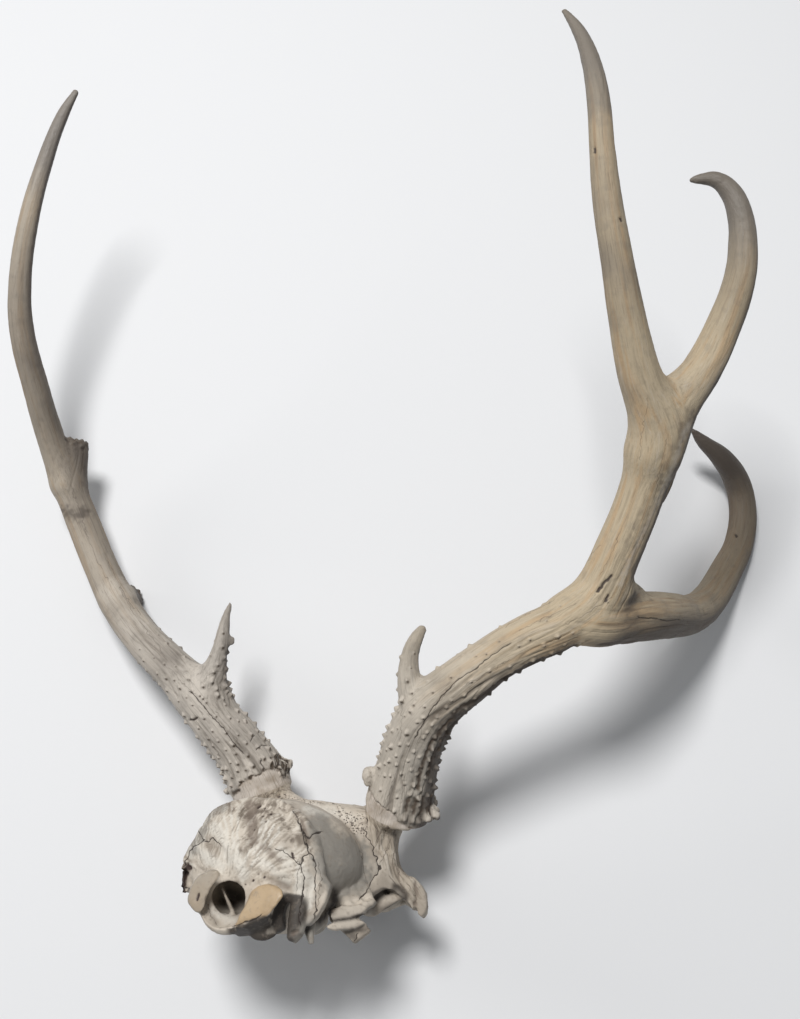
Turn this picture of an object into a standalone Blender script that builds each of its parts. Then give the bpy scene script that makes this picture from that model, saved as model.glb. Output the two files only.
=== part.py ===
"""A mule deer's antlers, grown on the broken back half of their skull.

Lengths below are millimetres; MM turns them into the metres that Blender uses.
+Z is up. The trophy lies as it was put down: on the broken front of the skull, on
the stub of the left antler's lost front branch and on the bend of the right one.
The origin is on the floor, under the middle of the whole.
"""
import math

import bmesh
import bpy
import numpy as np
from mathutils import Euler, Matrix, Vector

MM = 0.001
GAP = 0.3            # between two pieces that meet
WELD = 0.01          # points nearer than this are one

# ---------------------------------------------------------------- driving dimensions
# The skull has a frame of its own: across to its right, forward to its nose and up,
# from the point midway between the burrs.
SKULL_AT = (-39.6, -163.4, 61.6)
SKULL_TURN = (-93.3, -24.2, -7.9)       # degrees about X, Y and Z: nose down

# Centre lines: x, y, z and the diameter there.
RIGHT_BEAM = [
    (-1, -181, 73, 36), (2, -169, 81, 37), (6, -154, 93, 34), (11, -139, 110, 32),
    (20, -126, 124, 30), (34, -116, 134, 28), (49, -106, 141, 26), (67, -96, 146, 26),
    (88, -86, 148, 27), (105, -72, 151, 26), (117, -50, 164, 25), (127, -23, 182, 26),
    (132, 0, 202, 27), (121, 23, 225, 21.5), (113, 46, 245, 18.5), (108, 66, 258, 16.5),
    (103, 93, 269, 15), (101, 118, 275, 13), (100, 146, 278, 12), (97, 169, 279, 9.5),
    (92, 186, 279, 6.5), (83, 201, 279, 2)]
RIGHT_FRONT = [
    (86, -84, 148, 22), (105, -86, 145, 25.5), (122, -78, 130, 28), (140, -73, 112, 28),
    (158, -67, 84, 26), (172, -57, 59, 25.5), (190.5, -42, 35, 24), (209, -17, 17, 21.5),
    (221.5, 6, 8.9, 18.5), (225.5, 30, 9.2, 17.8), (221, 46, 16, 17), (210.5, 56, 27, 14.5),
    (196, 64, 37.5, 8.5), (188, 69.5, 44, 2)]
RIGHT_HOOK = [
    (131, -8, 194, 22), (142, 12, 204, 24), (155.3, 28, 213, 20.5), (166, 48, 221, 18.5),
    (174, 70, 232, 16.5), (176, 88, 238, 15), (174, 105, 243, 13), (170, 114, 245, 11.5),
    (163, 119.5, 247, 8.8), (155, 120, 247, 5.6), (148, 119, 247, 2)]
RIGHT_BROW = [
    (14, -132, 118, 20), (8, -118, 127, 16), (7, -101, 126, 12), (11, -88, 123, 9),
    (15, -81, 120, 5)]
LEFT_BEAM = [
    (-76, -164, 41, 36), (-81, -151, 45, 37), (-90, -137, 51, 32), (-106, -119, 58, 29),
    (-129, -92.5, 58, 25.4), (-151, -70, 48, 23.6), (-171.5, -43, 32, 23.6), (-186, -17, 27, 21.5),
    (-199, 12, 31, 21), (-209, 36, 39, 20), (-217, 58, 54, 17.8), (-223, 83, 79, 16.4),
    (-228, 109, 101, 15.2), (-228, 130, 114, 14), (-223, 164, 129, 12.6),
    (-213, 204, 140, 10.2), (-203, 231, 148, 7.3), (-194, 247, 153, 2)]
LEFT_BROW = [
    (-116, -108, 62, 22), (-109, -100, 75, 18), (-104, -86, 76, 12), (-100, -70, 71, 7.5),
    (-97, -54, 66, 2.5)]
LEFT_FRONT_STUB = [(-173, -40, 31, 23), (-174.5, -35, 12, 22), (-174, -33, -4, 21)]
LEFT_HOOK_STUB = [(-208, 34, 38, 20), (-204, 49, 43, 16), (-202, 58, 47, 14)]

# Where branches part, and how far round there the skin is filled out.
RIGHT_FORKS = [(112, -70, 146), (134, 4, 206), (8, -117, 124)]
RIGHT_FORK_REACH = 26
LEFT_FORKS = [(-174, -36, 24), (-209, 42, 42), (-109, -104, 68)]
LEFT_FORK_REACH = 18

# An antler ends, on the top of its pedicle, this far along its centre line, counted
# in points of that line, as all stations are.
BASE_AT = 0.5
# The saw lines that part an antler at its main forks: a station and a disc's radius.
RIGHT_REAR_KERF = (9.75, 20)
RIGHT_LONG_KERF = (13.1, 16)
RIGHT_FRONT_KERF = (2.95, 22)           # along the front branch
RIGHT_HOOK_KERF = (1.9, 16)             # along the hooked tine
LEFT_UPPER_KERF = (6.9, 17)
LEFT_LONG_KERF = (10.2, 13)

# The burr is a ring of beads where the antler leaves the skull. It stands out
# further, and lower, on the side that its flare points to.
BURR_AT = 1.0
BURR_RADIUS = 17.5
BURR_BEADS = 17
BURR_BEAD = 3.6                         # a bead's smallest half size
BURR_FLARE = 2.5
RIGHT_FLARE = (0.9, -0.3, -0.2)
LEFT_FLARE = (0.5, -0.5, 0.3)
# Rows of beads run up the lower beam and get smaller towards the top.
ROWS = 9
BEAD_STEP = 9.5
BEAD_HALF = (4.6, 2.6, 2.6)             # along, round and out, at the bottom
RIGHT_BEADED = (1.5, 7.4)               # stretch of the centre line
LEFT_BEADED = (1.5, 4.4)
RIGHT_SEED = 3
LEFT_SEED = 4

# The skull's bones, in its own frame: centre lines as above.
CREST = [
    (-41, -56, -62, 8), (-35, -60, -40, 6), (-21, -62, -25, 6), (0, -63, -20, 6),
    (19, -62, -25, 6), (30, -60, -38, 6), (36, -57, -58, 7), (32, -57, -76, 7)]
FOREHEAD = [(-40, 4, -18, 26), (0, -8, -18, 25), (38, 4, -18, 24)]
SKULL_BASE = [(0, -68, -83, 17), (0, -30, -75, 20), (0, 14, -66, 18)]
LEFT_CONDYLE = [
    (-10, -72, -57, 8), (-17, -77, -66, 13), (-18, -78, -77, 13), (-9, -74, -85, 9),
    (2, -72, -88, 7)]
RIGHT_CONDYLE = [(11, -72, -58, 8), (20, -77, -65, 15), (18, -79, -76, 17), (7, -76, -84, 11)]
RIGHT_JUGULAR = [(34, -54, -62, 13), (31, -57, -76, 10), (29, -58, -87, 5)]
RIGHT_SPLINTER = [(29, -14, -64, 16), (33, 2, -75, 7)]
# These four are the same on both sides.
PEDICLE = [
    (30, 15, -36, 30), (33, 9, -21, 22), (38, 3, -11, 25), (45, -3, 3, 34), (49, -8, 12, 36)]
POSTORBITAL = [
    (39, 7, -25, 21), (46, 12, -36, 15), (52, 19, -45, 12), (57, 26, -52, 8), (59, 29, -58, 5)]
PRONG = [(46, 12, -36, 14), (50, 20, -48, 10), (51, 24, -54, 5)]
ZYGOMA = [(33, -38, -69, 9), (37, -27, -63, 9), (44, -14, -58, 8), (49, -5, -55, 6)]
# Ellipsoids: centre, half sizes and turn.
BRAINCASE = ((0, -30, -42), (40, 46, 30))
NAPE = ((-3, -50, -50), (38, 27, 30))
NAPE_WALL = ((-3, -59, -48), (39, 14, 30))
FACE_ROOT = ((-3, 24, -40), (28, 48, 22))
RIGHT_FLANGE = ((38, -52, -60), (5, 9, 10))
RIGHT_PLATE = ((34, 14, -55), (20, 15, 3.5), (0, 12, 0))
LEFT_PLATE = ((-34, 14, -55), (20, 15, 3.5), (0, -12, 0))
EAR_BONE = ((19, -30, -72), (9, 12, 10))
FORAMEN = ((-2, -74, -71), (12.5, 30, 11), (29, 0, 0))
BRAIN_CAVITY = ((0, -38, -48), (26, 26, 18))
CONDYLE_HOLLOW = ((22, -64, -80), (7, 9, 7))
BROKEN_FRONT = ((-4, 74, -40), (17, 30, 11))
EAR_HOLLOW = ((38, -44, -67), (7, 7, 6))
ORBIT = ((50, 47, -38), (22, 19, 15))

VOXEL = 1.5
RIGHT_FACES = 3900
LEFT_FACES = 2250
SKULL_FACES = 2800
SCRAP = 4            # a loose bit with fewer faces than this is no solid
FLOOR_SIZE = 700
FLOOR_DEPTH = 100

WHOLE = bpy.data.collections.new("deer_antlers_on_skull")
CUTTERS = bpy.data.collections.new("cutters")


# ---------------------------------------------------------------- small helpers
def clear_scene():
    for old in list(bpy.data.objects):
        bpy.data.objects.remove(old)
    bpy.context.scene.collection.children.link(WHOLE)
    bpy.context.scene.collection.children.link(CUTTERS)


def bone(name, colour, roughness):
    material = bpy.data.materials.new(name)
    material.use_nodes = True
    shader = material.node_tree.nodes["Principled BSDF"]
    shader.inputs["Base Color"].default_value = (*colour, 1)
    shader.inputs["Roughness"].default_value = roughness
    shader.inputs["Metallic"].default_value = 0
    return material


def mesh_object(name, form, collection=WHOLE):
    """Turn a bmesh into an object."""
    mesh = bpy.data.meshes.new(name)
    form.to_mesh(mesh)
    form.free()
    thing = bpy.data.objects.new(name, mesh)
    collection.objects.link(thing)
    return thing


def settle(thing):
    """Make the modifiers' result the object's own mesh."""
    graph = bpy.context.evaluated_depsgraph_get()
    mesh = bpy.data.meshes.new_from_object(thing.evaluated_get(graph))
    thing.modifiers.clear()
    thing.data = mesh


def tube(path):
    """A tapered round tube through x, y, z, diameter points, closed at both ends."""
    curve = bpy.data.curves.new("tube", "CURVE")
    curve.dimensions = "3D"
    curve.bevel_depth = MM
    curve.bevel_resolution = 4
    curve.resolution_u = 5
    curve.use_fill_caps = True
    spline = curve.splines.new("BEZIER")
    spline.bezier_points.add(len(path) - 1)
    for point, (x, y, z, width) in zip(spline.bezier_points, path):
        point.co = Vector((x, y, z)) * MM
        point.radius = width / 2
        point.handle_left_type = "AUTO"
        point.handle_right_type = "AUTO"
    holder = bpy.data.objects.new("tube", curve)
    WHOLE.objects.link(holder)
    graph = bpy.context.evaluated_depsgraph_get()
    form = bmesh.new()
    form.from_mesh(bpy.data.meshes.new_from_object(holder.evaluated_get(graph)))
    bpy.data.objects.remove(holder)
    bmesh.ops.remove_doubles(form, verts=form.verts, dist=WELD * MM)
    return mesh_object("tube", form)


def ball(centre, half, turn=(0, 0, 0), collection=WHOLE):
    """An ellipsoid with its half sizes, turned about X, Y and Z in degrees."""
    form = bmesh.new()
    place = Matrix.LocRotScale(
        Vector(centre) * MM, Euler([math.radians(t) for t in turn]), Vector(half) * MM)
    bmesh.ops.create_icosphere(form, subdivisions=4, radius=1, matrix=place)
    return mesh_object("ball", form, collection)


def beads(places):
    """Small ellipsoids, one at each matrix."""
    form = bmesh.new()
    for place in places:
        bmesh.ops.create_icosphere(form, subdivisions=2, radius=1, matrix=place)
    return mesh_object("beads", form)


def fuse(things, rounds):
    """Grow overlapping solids into one skin, then smooth it."""
    form = bmesh.new()
    for thing in things:
        form.from_mesh(thing.data)
        bpy.data.objects.remove(thing)
    whole = mesh_object("fused", form)
    remesh = whole.modifiers.new("grow together", "REMESH")
    remesh.mode = "VOXEL"
    remesh.voxel_size = VOXEL * MM
    smooth = whole.modifiers.new("smooth", "SMOOTH")
    smooth.factor = 0.5
    smooth.iterations = rounds
    settle(whole)
    return whole


def fill_forks(thing, centres, reach, rounds):
    """Smooth only near the centres, as a fork fills out where branches part."""
    group = thing.vertex_groups.new(name="forks")
    points = np.array([vertex.co[:] for vertex in thing.data.vertices]) / MM
    distances = [np.linalg.norm(points - centre, axis=1) for centre in centres]
    weights = np.clip(1.6 - 1.6 * np.min(distances, axis=0) / reach, 0, 1)
    for index in np.flatnonzero(weights):
        group.add([int(index)], float(weights[index]), "REPLACE")
    smooth = thing.modifiers.new("fill", "SMOOTH")
    smooth.vertex_group = "forks"
    smooth.factor = 0.5
    smooth.iterations = rounds
    settle(thing)
    thing.vertex_groups.clear()


def thin_out(thing, faces):
    """Keep about this many triangles."""
    for polygon in thing.data.polygons:
        polygon.use_smooth = True
    triangles = sum(len(polygon.vertices) - 2 for polygon in thing.data.polygons)
    decimate = thing.modifiers.new("thin out", "DECIMATE")
    decimate.ratio = faces / triangles
    decimate.use_collapse_triangulate = True
    settle(thing)


def as_cutter(thing, name):
    thing.name = name
    thing.hide_render = True
    thing.display_type = "WIRE"
    return thing


def disc(point, direction, radius, thickness, name):
    """A round plate across a direction, to cut with."""
    form = bmesh.new()
    turn = Vector(direction).to_track_quat("Z", "Y")
    place = Matrix.LocRotScale(Vector(point) * MM, turn, None)
    bmesh.ops.create_cone(
        form, cap_ends=True, segments=24, radius1=radius * MM, radius2=radius * MM,
        depth=thickness * MM, matrix=place)
    return as_cutter(mesh_object(name, form, CUTTERS), name)


def floor_block():
    """All that would lie below the floor."""
    form = bmesh.new()
    size = Vector((FLOOR_SIZE, FLOOR_SIZE, FLOOR_DEPTH)) * MM
    middle = Vector((0, 0, -FLOOR_DEPTH / 2)) * MM
    bmesh.ops.create_cube(form, size=1, matrix=Matrix.LocRotScale(middle, None, size))
    return as_cutter(mesh_object("floor", form, CUTTERS), "floor")


def cut(thing, tool):
    boolean = thing.modifiers.new("cut", "BOOLEAN")
    boolean.operation = "DIFFERENCE"
    boolean.object = tool
    settle(thing)


def station(path, at):
    """Point, direction and diameter on a smooth line through a path's points."""
    data = np.array(path, float)
    first = int(min(max(math.floor(at), 0), len(data) - 2))
    part = at - first
    before = data[max(first - 1, 0)]
    start = data[first]
    end = data[first + 1]
    after = data[min(first + 2, len(data) - 1)]
    slope_a = (end - before) / 2
    slope_b = (after - start) / 2
    square = part * part
    cube = square * part
    spot = ((2 * cube - 3 * square + 1) * start + (cube - 2 * square + part) * slope_a
            + (3 * square - 2 * cube) * end + (cube - square) * slope_b)
    speed = ((6 * square - 6 * part) * (start - end) + (3 * square - 4 * part + 1) * slope_a
             + (3 * square - 2 * part) * slope_b)
    direction = Vector(speed[:3]).normalized()
    return Vector(spot[:3]), direction, float(spot[3])


# ---------------------------------------------------------------- antlers
def around(path, at, angle):
    """A point on a beam's skin, with the directions along, round and out of it."""
    spot, along, width = station(path, at)
    side = along.cross(Vector((0, 0, 1))).normalized()
    out = Matrix.Rotation(angle, 3, along) @ side
    return spot + out * width / 2, along, along.cross(out), out


def bead_place(point, along, round_, out, half):
    axes = Matrix((along * half[0], round_ * half[1], out * half[2])).transposed()
    return Matrix.Translation(point * MM) @ (axes * MM).to_4x4()


def beading(path, stretch, seed):
    """Rows of long beads, as the blood vessels in the velvet left them."""
    chance = np.random.default_rng(seed)
    start, end = stretch
    places = []
    for row in range(ROWS):
        at = start + 0.3 * chance.random()
        while at < end:
            faded = (at - start) / (end - start)
            size = (1.15 - 0.65 * faded) * (0.75 + 0.5 * chance.random())
            angle = 2 * math.pi * (row + 0.25 * chance.normal()) / ROWS
            point, along, round_, out = around(path, at, angle)
            half = [size * full for full in BEAD_HALF]
            places.append(bead_place(point, along, round_, out, half))
            step = BEAD_STEP * (0.7 + 0.6 * chance.random())
            point_length = (station(path, at + 0.5)[0] - station(path, at - 0.5)[0]).length
            at += step / point_length
    return beads(places)


def burr(path, flare, seed):
    """The coronet: a crowded ring of beads."""
    chance = np.random.default_rng(seed)
    spot = station(path, BURR_AT)[0]
    places = []
    for number in range(BURR_BEADS):
        angle = 2 * math.pi * (number + 0.3 * chance.random()) / BURR_BEADS
        along, round_, out = around(path, BURR_AT, angle)[1:]
        flared = BURR_FLARE * out.dot(Vector(flare))
        reach = BURR_RADIUS + flared + 0.8 * chance.normal()
        size = BURR_BEAD + 0.8 * chance.random()
        drop = flared + 0.9 * chance.normal()
        places.append(bead_place(
            spot + out * reach - along * drop, along, round_, out, (size, size, size + 0.8)))
    return beads(places)


def name_pieces(thing, homes, material):
    """Part the cut solid into its loose pieces and name each by a point near it."""
    bpy.ops.object.select_all(action="DESELECT")
    thing.select_set(True)
    bpy.context.view_layer.objects.active = thing
    bpy.ops.mesh.separate(type="LOOSE")
    pieces = []
    for loose in list(bpy.context.selected_objects):
        if len(loose.data.polygons) < SCRAP:
            bpy.data.objects.remove(loose)
        else:
            pieces.append(loose)
    for name, home in homes.items():
        spot = Vector(home[:3]) * MM
        nearest = min(pieces, key=lambda one: min(
            (vertex.co - spot).length for vertex in one.data.vertices))
        pieces.remove(nearest)
        nearest.name = name
        nearest.data.materials.clear()
        nearest.data.materials.append(material)
    assert not pieces, "%d pieces left without a name" % len(pieces)


def kerf(path, place, name):
    """A thin saw line across a path."""
    at, radius = place
    spot, along = station(path, at)[:2]
    return disc(spot, along, radius, GAP, name)


def base_trim(path, name):
    """Cuts the antler off square at the top of its pedicle."""
    spot, along = station(path, BASE_AT)[:2]
    return disc(spot - along * 15, along, 40, 30 + GAP, name)


def pedicle_trim(path, name):
    """Cuts the pedicle off square under its antler."""
    spot, along = station(path, BASE_AT)[:2]
    return disc(spot + along * 20, along, 34, 40 + GAP, name)


def make_right_antler(floor, material):
    branches = [RIGHT_BEAM, RIGHT_FRONT, RIGHT_HOOK, RIGHT_BROW]
    antler = fuse([tube(path) for path in branches], 2)
    fill_forks(antler, RIGHT_FORKS, RIGHT_FORK_REACH, 14)
    rows = beading(RIGHT_BEAM, RIGHT_BEADED, RIGHT_SEED)
    ring = burr(RIGHT_BEAM, RIGHT_FLARE, RIGHT_SEED)
    antler = fuse([antler, rows, ring], 1)
    thin_out(antler, RIGHT_FACES)
    cut(antler, base_trim(RIGHT_BEAM, "right base"))
    cut(antler, floor)
    cut(antler, kerf(RIGHT_BEAM, RIGHT_REAR_KERF, "right rear kerf"))
    cut(antler, kerf(RIGHT_BEAM, RIGHT_LONG_KERF, "right long kerf"))
    cut(antler, kerf(RIGHT_FRONT, RIGHT_FRONT_KERF, "right front kerf"))
    cut(antler, kerf(RIGHT_HOOK, RIGHT_HOOK_KERF, "right hook kerf"))
    name_pieces(antler, {
        "right_lower_beam": RIGHT_BEAM[4],
        "right_rear_branch": RIGHT_BEAM[11],
        "right_long_tine": RIGHT_BEAM[17],
        "right_hooked_tine": RIGHT_HOOK[6],
        "right_front_branch": RIGHT_FRONT[8]}, material)


def make_left_antler(floor, material):
    branches = [LEFT_BEAM, LEFT_BROW, LEFT_FRONT_STUB, LEFT_HOOK_STUB]
    antler = fuse([tube(path) for path in branches], 2)
    fill_forks(antler, LEFT_FORKS, LEFT_FORK_REACH, 8)
    rows = beading(LEFT_BEAM, LEFT_BEADED, LEFT_SEED)
    ring = burr(LEFT_BEAM, LEFT_FLARE, LEFT_SEED)
    antler = fuse([antler, rows, ring], 1)
    thin_out(antler, LEFT_FACES)
    cut(antler, base_trim(LEFT_BEAM, "left base"))
    cut(antler, floor)
    cut(antler, kerf(LEFT_BEAM, LEFT_UPPER_KERF, "left upper kerf"))
    cut(antler, kerf(LEFT_BEAM, LEFT_LONG_KERF, "left long kerf"))
    name_pieces(antler, {
        "left_lower_beam": LEFT_BEAM[4],
        "left_upper_beam": LEFT_BEAM[8],
        "left_long_tine": LEFT_BEAM[13]}, material)


# ---------------------------------------------------------------- skull
def tube_pair(path):
    """A bone on the right of the skull and its mirror on the left."""
    mirror = [(-across, forward, up, width) for across, forward, up, width in path]
    return [tube(path), tube(mirror)]


def ball_pair(place, collection=WHOLE):
    (across, forward, up), half = place
    return [ball((side * across, forward, up), half, collection=collection)
            for side in (1, -1)]


def make_skull(floor, material):
    bones = [ball(*place) for place in (
        BRAINCASE, NAPE, NAPE_WALL, FACE_ROOT, RIGHT_FLANGE, RIGHT_PLATE, LEFT_PLATE)]
    bones += [tube(path) for path in (
        CREST, FOREHEAD, SKULL_BASE, LEFT_CONDYLE, RIGHT_CONDYLE, RIGHT_JUGULAR,
        RIGHT_SPLINTER)]
    for path in (PEDICLE, POSTORBITAL, PRONG, ZYGOMA):
        bones += tube_pair(path)
    bones += ball_pair(EAR_BONE)
    skull = fuse(bones, 5)
    hollows = [ball(*place, collection=CUTTERS) for place in (
        FORAMEN, BRAIN_CAVITY, CONDYLE_HOLLOW, BROKEN_FRONT)]
    hollows += ball_pair(EAR_HOLLOW, CUTTERS) + ball_pair(ORBIT, CUTTERS)
    for number, hollow in enumerate(hollows):
        cut(skull, as_cutter(hollow, "hollow %d" % number))
    turn = Euler([math.radians(t) for t in SKULL_TURN])
    place = Matrix.LocRotScale(Vector(SKULL_AT) * MM, turn, None)
    skull.data.transform(place)
    cut(skull, pedicle_trim(RIGHT_BEAM, "right pedicle top"))
    cut(skull, pedicle_trim(LEFT_BEAM, "left pedicle top"))
    thin_out(skull, SKULL_FACES)
    cut(skull, floor)
    name_pieces(skull, {"skull": SKULL_AT}, material)


clear_scene()
FLOOR = floor_block()
make_right_antler(FLOOR, bone("right antler", (0.50, 0.42, 0.31), 0.6))
make_left_antler(FLOOR, bone("left antler", (0.52, 0.45, 0.35), 0.6))
make_skull(FLOOR, bone("skull bone", (0.68, 0.63, 0.54), 0.7))
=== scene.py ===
# %% [markdown]
# # A mule deer's antlers on the broken back of its skull
#
# Antlers are bone. They grow each summer from two short stalks on a buck's forehead,
# the pedicles, and blood vessels under the velvet leave furrows and beads on them.
# Here they are still on the back half of the skull. This lesson first loads a plain
# measured model of it all, and then grows a detailed skin over it.

# %% Load the measured model
import itertools
import math
from contextlib import contextmanager

import bpy
import numpy as np
from mathutils import Euler, Matrix, Vector
from mathutils.kdtree import KDTree


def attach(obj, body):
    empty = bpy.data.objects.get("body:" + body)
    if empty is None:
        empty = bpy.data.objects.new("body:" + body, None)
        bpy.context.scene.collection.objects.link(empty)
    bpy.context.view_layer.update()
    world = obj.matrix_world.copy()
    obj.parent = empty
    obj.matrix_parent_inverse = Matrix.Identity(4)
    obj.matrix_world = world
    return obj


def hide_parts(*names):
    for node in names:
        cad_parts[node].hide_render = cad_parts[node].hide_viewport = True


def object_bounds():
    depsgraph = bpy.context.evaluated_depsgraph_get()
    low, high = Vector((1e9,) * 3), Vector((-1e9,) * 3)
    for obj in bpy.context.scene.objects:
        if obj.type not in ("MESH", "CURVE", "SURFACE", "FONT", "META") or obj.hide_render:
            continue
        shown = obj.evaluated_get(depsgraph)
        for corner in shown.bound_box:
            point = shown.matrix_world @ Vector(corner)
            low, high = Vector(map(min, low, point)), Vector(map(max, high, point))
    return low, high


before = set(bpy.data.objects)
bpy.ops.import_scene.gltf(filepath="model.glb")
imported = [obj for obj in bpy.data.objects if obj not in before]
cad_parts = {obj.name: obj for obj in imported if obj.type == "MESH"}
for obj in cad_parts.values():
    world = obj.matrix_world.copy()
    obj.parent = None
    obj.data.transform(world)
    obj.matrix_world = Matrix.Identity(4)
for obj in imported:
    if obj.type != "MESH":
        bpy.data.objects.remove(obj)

MM = 0.001
CAD_BOX = [list(corner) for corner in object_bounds()]
print("measured box in metres", CAD_BOX)

# %% [markdown]
# ## The camera
#
# The picture was taken from above, 70 degrees over the floor. A long side of 1019
# pixels and the distances in the picture give the lens. The camera comes first,
# because some marks on the bone are drawn further down just as they are seen from here.

# %% Camera
EYE = Vector((0.002, -0.272, 0.832))
EYE_TURN = Euler((math.radians(20), 0, 0))
LONG_SIDE = 1019
SHORT_SIDE = 800
FOCUS = 1342.56                     # focal length in pixels
lens = bpy.data.cameras.new("camera")
lens.sensor_width = 36
lens.lens = FOCUS / LONG_SIDE * lens.sensor_width
camera = bpy.data.objects.new("camera", lens)
camera.location = EYE
camera.rotation_euler = EYE_TURN
bpy.context.scene.collection.objects.link(camera)
bpy.context.scene.camera = camera
print("focal length", round(lens.lens, 2), "mm")

# %% [markdown]
# ## Working by operator
#
# An operator works on what is selected, so every step starts by picking its object
# alone, and a primitive is added with nothing else selected. A modifier is added and
# applied at once, as by hand.

# %% Picking, adding, editing, modifiers and joining
def pick(*things):
    """Select these alone; the last is the active one."""
    bpy.ops.object.select_all(action="DESELECT")
    for thing in things:
        thing.select_set(True)
    bpy.context.view_layer.objects.active = things[-1]


def fresh(add, **settings):
    """A new primitive, added with nothing else selected."""
    bpy.ops.object.select_all(action="DESELECT")
    add(**settings)
    return bpy.context.object


@contextmanager
def editing(thing):
    """Edit mode with all of it selected."""
    pick(thing)
    bpy.ops.object.mode_set(mode="EDIT")
    bpy.ops.mesh.select_all(action="SELECT")
    yield
    bpy.ops.object.mode_set(mode="OBJECT")


def work(thing, kind, **settings):
    """Add a modifier and apply it."""
    pick(thing)
    bpy.ops.object.modifier_add(type=kind)
    modifier = thing.modifiers[-1]
    for name, value in settings.items():
        setattr(modifier, name, value)
    bpy.ops.object.modifier_apply(modifier=modifier.name)


def combine(thing, operation, tool):
    """Cut the tool out of a thing, or keep only what is inside the tool."""
    work(thing, "BOOLEAN", operation=operation, solver="EXACT", object=tool)
    bpy.data.objects.remove(tool)


def joined(things, name):
    pick(*things)
    bpy.ops.object.join()
    whole = bpy.context.object
    whole.name = name
    return whole


# %% [markdown]
# Every branch is a tapered tube round its centre line. A bezier curve with a bevel
# gives it: each of its points has a place and a thickness, and the handles are
# automatic, so the line is smooth.

# %% Tubes and ellipsoids
def tube(path):
    """A closed tapered tube through x, y, z, diameter points in millimetres."""
    line = fresh(bpy.ops.curve.primitive_bezier_curve_add)
    line.data.bevel_depth = MM
    line.data.bevel_resolution = 6
    line.data.resolution_u = 8
    line.data.use_fill_caps = True
    spline = line.data.splines[0]
    spline.bezier_points.add(len(path) - 2)
    for point, (x, y, z, width) in zip(spline.bezier_points, path):
        point.co = Vector((x, y, z)) * MM
        point.radius = width / 2
        point.handle_left_type = point.handle_right_type = "AUTO"
    bpy.ops.object.convert(target="MESH")
    thing = bpy.context.object
    with editing(thing):
        bpy.ops.mesh.remove_doubles(threshold=0.01 * MM)
        bpy.ops.mesh.normals_make_consistent()
    return thing


def placed(centre, half, turn=None):
    """The matrix that makes a ball of radius 1 an ellipsoid there."""
    return Matrix.LocRotScale(Vector(centre) * MM, turn, Vector(half) * MM)


def ball(centre, half, turn=(0, 0, 0)):
    """An ellipsoid with its half sizes, turned about X, Y and Z in degrees."""
    thing = fresh(bpy.ops.mesh.primitive_ico_sphere_add, subdivisions=5, radius=1)
    thing.data.transform(placed(centre, half, Euler([math.radians(angle) for angle in turn])))
    return thing


def slab(front, back):
    """A closed block between two outlines with the same number of corners."""
    thing = fresh(bpy.ops.mesh.primitive_cylinder_add, vertices=len(front), radius=1, depth=2)
    for number, (near, far) in enumerate(zip(front, back)):
        thing.data.vertices[2 * number].co = Vector(far) * MM
        thing.data.vertices[2 * number + 1].co = Vector(near) * MM
    with editing(thing):
        bpy.ops.mesh.quads_convert_to_tris()
        bpy.ops.mesh.normals_make_consistent()
    return thing


def bead_copies(places):
    """One small ball, copied to each place."""
    first = fresh(bpy.ops.mesh.primitive_ico_sphere_add, subdivisions=3, radius=1)
    copies = []
    for place in places:
        copy = first.copy()
        copy.data = first.data.copy()
        copy.data.transform(place)
        bpy.context.collection.objects.link(copy)
        copies.append(copy)
    bpy.data.objects.remove(first)
    return joined(copies, "beads")


# %% [markdown]
# ## The centre lines
#
# These are the measured model's own numbers: x, y, z and the diameter there, in
# millimetres. The right antler has a beam that forks twice, and a brow tine. The left
# one has lost its front branch and its hooked tine, and keeps the stubs.

# %% Centre lines of the antlers
RIGHT_BEAM = [
    (-1, -181, 73, 36), (2, -169, 81, 37), (6, -154, 93, 34), (11, -139, 110, 32),
    (20, -126, 124, 30), (34, -116, 134, 28), (49, -106, 141, 26), (67, -96, 146, 26),
    (88, -86, 148, 27), (105, -72, 151, 26), (117, -50, 164, 25), (128, -23, 182, 24.5),
    (133, 0, 202, 25.5), (121, 23, 225, 21.5), (113, 46, 245, 18.5), (108, 66, 258, 16.5),
    (103, 93, 269, 15), (101, 118, 275, 13), (100, 146, 278, 12), (97, 169, 279, 10),
    (92, 186, 279, 7.6), (84.5, 199.5, 279, 3.6)]
RIGHT_FRONT = [
    (86, -84, 148, 22), (105, -86, 145, 25.5), (122, -79.5, 130, 27), (140, -72.8, 112, 27.8),
    (158, -65, 84, 27), (173.5, -57.6, 59, 24.6), (191.2, -42.7, 35, 22.4), (209, -17.2, 17, 20.5),
    (221.5, 6, 8.9, 18.5), (225.5, 30, 9.2, 17.8), (221, 46, 16, 17), (210.5, 56, 27, 14.5),
    (196, 64, 37.5, 8.8), (188, 69.5, 44, 3)]
RIGHT_HOOK = [
    (131, -8, 194, 22), (142, 12, 204, 24), (155.3, 28, 213, 20.5), (166, 48, 221, 18.5),
    (174, 70, 232, 16.5), (176, 88, 238, 15), (174, 105, 243, 13), (170, 114, 245, 11.5),
    (163, 119.5, 247, 9), (155, 120, 247, 6.2), (148.5, 119, 247, 3.2)]
RIGHT_BROW = [
    (14, -132, 118, 20), (8, -118, 127, 15), (7, -101, 126, 10.5), (11, -88, 123, 8),
    (15, -81, 120, 5)]
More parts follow.
